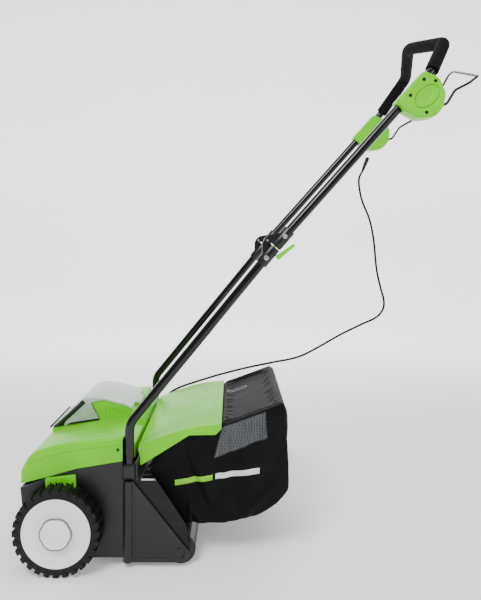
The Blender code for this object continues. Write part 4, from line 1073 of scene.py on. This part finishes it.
def flap():
    """The discharge flap: a crowned top with two creases, and deep side skirts."""
    top = [(0.158, 0.2475), (0.175, 0.2545), (0.213, 0.268), (0.252, 0.28), (0.29, 0.2885), (0.338, 0.2935)]
    skirt = [(0.338, 0.283), (0.325, 0.27), (0.268, 0.269), (0.1645, 0.2045), (0.1612, 0.2065),
             (0.1612, 0.224), (0.157, 0.236)]
    under = [(0.345, 0.2905), (0.29, 0.2855), (0.252, 0.277), (0.213, 0.265), (0.176, 0.2518),
             (0.1685, 0.248), (0.1685, 0.15), (0.345, 0.15)]
    outline = rounded(top + skirt,
                      [0.001, 0.03, 0.05, 0.05, 0.04, 0.002, 0.003, 0.006, 0.006, 0.002, 0.001, 0.002,
                       0.002], 5)
    shell = soften(prism("flap_shell", outline, -FLAP_Y, FLAP_Y), 0.003, 4, 50)
    for y in (-0.1, 0.1):
        groove = block("flap_crease", at(0.176, y - 0.0011, -0.0009), at(0.33, y + 0.0011, 0.0009))
        for v in groove.data.vertices:
            v.co.z += 0.2545 + (v.co.x - AXLE_X - 0.175) * 0.2925
        shell = cut(shell, groove)
    shell = cut(shell, prism("flap_room", under, -0.1878, 0.1878),
                block("flap_front_room", at(0.1, -0.1878, 0.1), at(0.1695, 0.1878, 0.236)),
                pin("flap_bore", (0.161, 0.2405), -0.3, 0.3, 0.0027))
    dress(shell, LIME, "flap", "lime_abs", "discharge_flap", smooth=28)


# The collection bag: a cloth shell that hangs from its frame, its folds found by simulation

BAG_Y = 0.183
BAG_FOOT, BAG_KNEE, BAG_LIP = (0.253, 0.0735), (0.176, 0.188), (0.208, 0.2443)
BAG_OUTLINE = [BAG_FOOT, BAG_KNEE, (0.205, 0.239), (0.213, 0.26), (0.252, 0.2728), (0.29, 0.2822),
               (0.3395, 0.287), (0.343, 0.294), (0.474, 0.342), (0.48, 0.315), (0.487, 0.148), (0.47, 0.126),
               (0.4165, 0.096), (0.335, 0.08)]
WINDOW = [(0.3384, 0.284), (0.4342, 0.318), (0.4372, 0.2613), (0.32, 0.216)]
SETTLING_FRAMES = 18
MOST_MOVE = 0.009


def seam_height(x):
    """The bag's sloping top seam."""
    return 0.294 + (x - 0.343) * 0.366


def held_share(place):
    """How firmly the bag is held at a point: 1 on its frame, mouth and sewn edges, 0 where it hangs free."""
    x, y, z = place.x - AXLE_X, abs(place.y), place.z
    if x < 0.268:
        return 1.0
    if z > 0.262 and x < 0.345:
        return 1.0
    near_top_seam = abs(z - seam_height(x)) < 0.011 and y > BAG_Y - 0.012
    corner = x > 0.462 and y > BAG_Y - 0.014
    rear_top = x > 0.458 and z > 0.318
    if near_top_seam or rear_top:
        return 1.0
    return 0.55 if corner else 0.0


def relax(obj, frames, limit):
    """Lets the cloth hang and wrinkle, then keeps each point within limit of where it was sewn."""
    start = [v.co.copy() for v in obj.data.vertices]
    group = obj.vertex_groups.new(name="held")
    for i, place in enumerate(start):
        group.add([i], held_share(place), "REPLACE")
    for v in obj.data.vertices:
        free = 1.0 - held_share(v.co)
        v.co.y += 0.0014 * free * sin(62.0 * v.co.x + 41.0 * v.co.z) * (1 if v.co.y > 0 else -1)
        v.co.z += 0.001 * free * sin(55.0 * v.co.y + 38.0 * v.co.x)
    cloth = obj.modifiers.new("hang", "CLOTH")
    settings = cloth.settings
    settings.quality = 6
    settings.mass = 0.12
    settings.tension_stiffness = 14.0
    settings.compression_stiffness = 14.0
    settings.shear_stiffness = 6.0
    settings.bending_stiffness = 0.35
    settings.shrink_min = -0.045
    settings.vertex_group_mass = "held"
    settings.pin_stiffness = 1.0
    settings.use_pressure = True
    settings.uniform_pressure_force = 0.6
    settings.air_damping = 3.0
    cloth.collision_settings.use_collision = False
    cloth.collision_settings.use_self_collision = False
    scene = bpy.context.scene
    for number in range(1, frames + 1):
        scene.frame_set(number)
    obj = settle(obj)
    for v, place in zip(obj.data.vertices, start):
        move = v.co - place
        allowed = limit * (1.0 - held_share(place))
        v.co = place + move * min(1.0, allowed / max(move.length, 1e-9))
    scene.frame_set(1)
    return obj


def bag_shell():
    """The bag's cloth, open where the two planes of its mouth cut it."""
    radii = [0.012, 0.006, 0.0, 0.004, 0.03, 0.03, 0.002, 0.002, 0.014, 0.02, 0.022, 0.035, 0.06, 0.05]
    inset = 0.0015
    shell = soften(prism("bag_cloth", rounded(BAG_OUTLINE, radii, 6), -BAG_Y + inset, BAG_Y - inset), 0.0085,
                   4, 60)
    remesh = shell.modifiers.new("even_cloth", "REMESH")
    remesh.mode = "VOXEL"
    remesh.voxel_size = 0.0052
    shell = settle(shell)
    smooth = shell.modifiers.new("even", "SMOOTH")
    smooth.factor = 0.5
    smooth.iterations = 2
    shell = settle(shell)
    shell = relax(shell, SETTLING_FRAMES, MOST_MOVE)
    finer = shell.modifiers.new("finer", "SUBSURF")
    finer.levels = 1
    shell = settle(shell)
    for low, high in ((BAG_FOOT, BAG_KNEE), (BAG_KNEE, BAG_LIP)):
        start, end = at(low[0], 0.0, low[1]), at(high[0], 0.0, high[1])
        inward = (end - start).cross(Vector((0, 1, 0))).normalized()
        if inward.x < 0:
            inward = -inward
        bm = bmesh.new()
        bm.from_mesh(shell.data)
        bmesh.ops.bisect_plane(bm, geom=bm.verts[:] + bm.edges[:] + bm.faces[:],
                               plane_co=start + inward * 0.0042, plane_no=inward, clear_inner=True)
        bm.to_mesh(shell.data)
        bm.free()
    keep_in(shell, at(0.1765, -0.2, 0.074), at(0.4868, 0.2, 0.3419))
    return shell


def keep_in(obj, low, high):
    for v in obj.data.vertices:
        for i in (0, 2):
            v.co[i] = min(max(v.co[i], low[i]), high[i])


def surface_of(obj):
    bm = bmesh.new()
    bm.from_mesh(obj.data)
    tree = BVHTree.FromBMesh(bm)
    bm.free()
    return tree


def on_side(tree, x, z, side, lift):
    """The point of the bag's side under a place in X and Z, lifted off the cloth."""
    hit, normal, _, _ = tree.ray_cast(at(x, side * 0.3, z), Vector((0, -side, 0)), 0.2)
    return hit + normal * lift if hit else at(x, side * (BAG_Y + lift), z)


def on_top(tree, x, y, lift):
    hit, normal, _, _ = tree.ray_cast(at(x, y, 0.5), Vector((0, 0, -1)), 0.4)
    return hit + normal * lift if hit else at(x, y, 0.34 + lift)


def corner_mix(corners, u, v):
    (a, b, c, d) = [Vector(p) for p in corners]
    return a.lerp(b, u).lerp(d.lerp(c, u), v)


def patch(name, tree, side, corners, lift, columns, rows, thick):
    """A thin sheet that follows the bag's side between four corners."""

    def build(bm):
        grid = []
        for j in range(rows + 1):
            row = []
            for i in range(columns + 1):
                p = corner_mix(corners, i / columns, j / rows)
                row.append(bm.verts.new(on_side(tree, p.x, p.y, side, lift)))
            grid.append(row)
        for j in range(rows):
            for i in range(columns):
                bm.faces.new((grid[j][i], grid[j][i + 1], grid[j + 1][i + 1], grid[j + 1][i]))

    sheet = shape(name, build)
    thicker = sheet.modifiers.new("thickness", "SOLIDIFY")
    thicker.thickness = thick
    thicker.offset = 0.0
    return settle(sheet)


def net_lines(tree, side, corners):
    routes = []
    for k in range(31):
        routes.append([on_side(tree, *corner_mix(corners, k / 30, j / 18), side, 0.0011) for j in range(19)])
    for k in range(21):
        routes.append([on_side(tree, *corner_mix(corners, j / 26, k / 20), side, 0.0013) for j in range(27)])
    return routes


def bag():
    """The cloth with its piping, net windows, printed bars and the stitches of its strap."""
    shell = bag_shell()
    tree = surface_of(shell)
    wall = shell.modifiers.new("wall", "SOLIDIFY")
    wall.thickness = 0.0016
    wall.offset = -1.0
    shell = settle(shell)
    dress(shell, CLOTH, "bag", "fabric", "bag_fabric", smooth=0)
    for side_name, side in SIDES:
        seam = []
        for k in range(41):
            x = 0.347 + (0.466 - 0.347) * k / 40
            seam.append(on_side(tree, x, seam_height(x) - 0.0045, side, 0.0006))
        dress(wire(f"bag_piping_{side_name}", [seam], 0.0021, 6), SOFT_RUBBER, "bag", "fabric", smooth=50)
        backing = patch(f"bag_window_{side_name}", tree, side, WINDOW, 0.0005, 40, 26, 0.0006)
        dress(backing, NET, "bag", "fabric", smooth=0)
        net = wire(f"bag_net_{side_name}", net_lines(tree, side, WINDOW), 0.00034, 2)
        dress(net, GREY_ABS, "bag", "fabric", smooth=0)
        rim = [*WINDOW, WINDOW[0]]
        line = []
        for (x0, z0), (x1, z1) in zip(rim, rim[1:]):
            line += [on_side(tree, x0 + (x1 - x0) * k / 22, z0 + (z1 - z0) * k / 22, side,
                             0.0006) for k in range(22)]
        line.append(line[0])
        dress(wire(f"bag_window_binding_{side_name}", [line], 0.0012, 4), SOFT_RUBBER, "bag", "fabric",
              smooth=0)
        for name, ink, span_x in (("green", GREEN_INK, (0.236, 0.318)), ("white", THREAD, (0.324, 0.42))):
            x0, x1 = span_x
            bar = [(x, 0.1585 + (x - 0.236) * 0.155 + up)
                   for x, up in ((x0, 0.0105), (x1, 0.0105), (x1, -0.0015), (x0, -0.0015))]
            dress(patch(f"bag_print_{name}_{side_name}", tree, side, bar, 0.0004, 34, 5, 0.0003), ink, "bag",
                  "fabric", smooth=0)
    for side in (-1, 1):
        top = []
        for i in range(49):
            x = 0.347 + 0.045 * i / 48
            top.append(on_top(tree, x, 0.08 + 0.001 * (1 if i % 2 else -1) + side * 0.008, 0.0006))
        dress(wire(f"strap_stitch_{'a' if side < 0 else 'b'}", [top], 0.00042, 2), THREAD, "bag", "fabric",
              smooth=0)
    loop = [on_top(tree, 0.392 + 0.008 * sin(pi * k / 14), 0.08 + 0.008 * cos(pi * k / 14), 0.0006)
            for k in range(15)]
    dress(wire("strap_stitch_loop", [loop], 0.00042, 2), THREAD, "bag", "fabric", smooth=0)


camera_and_cord()
paint()
for side_name, side in SIDES:
    wheel(side_name, side)
    side_panel(side_name, side)
handle()
hood()
battery_lid()
deck()
depth_lever()
flap()
bag()
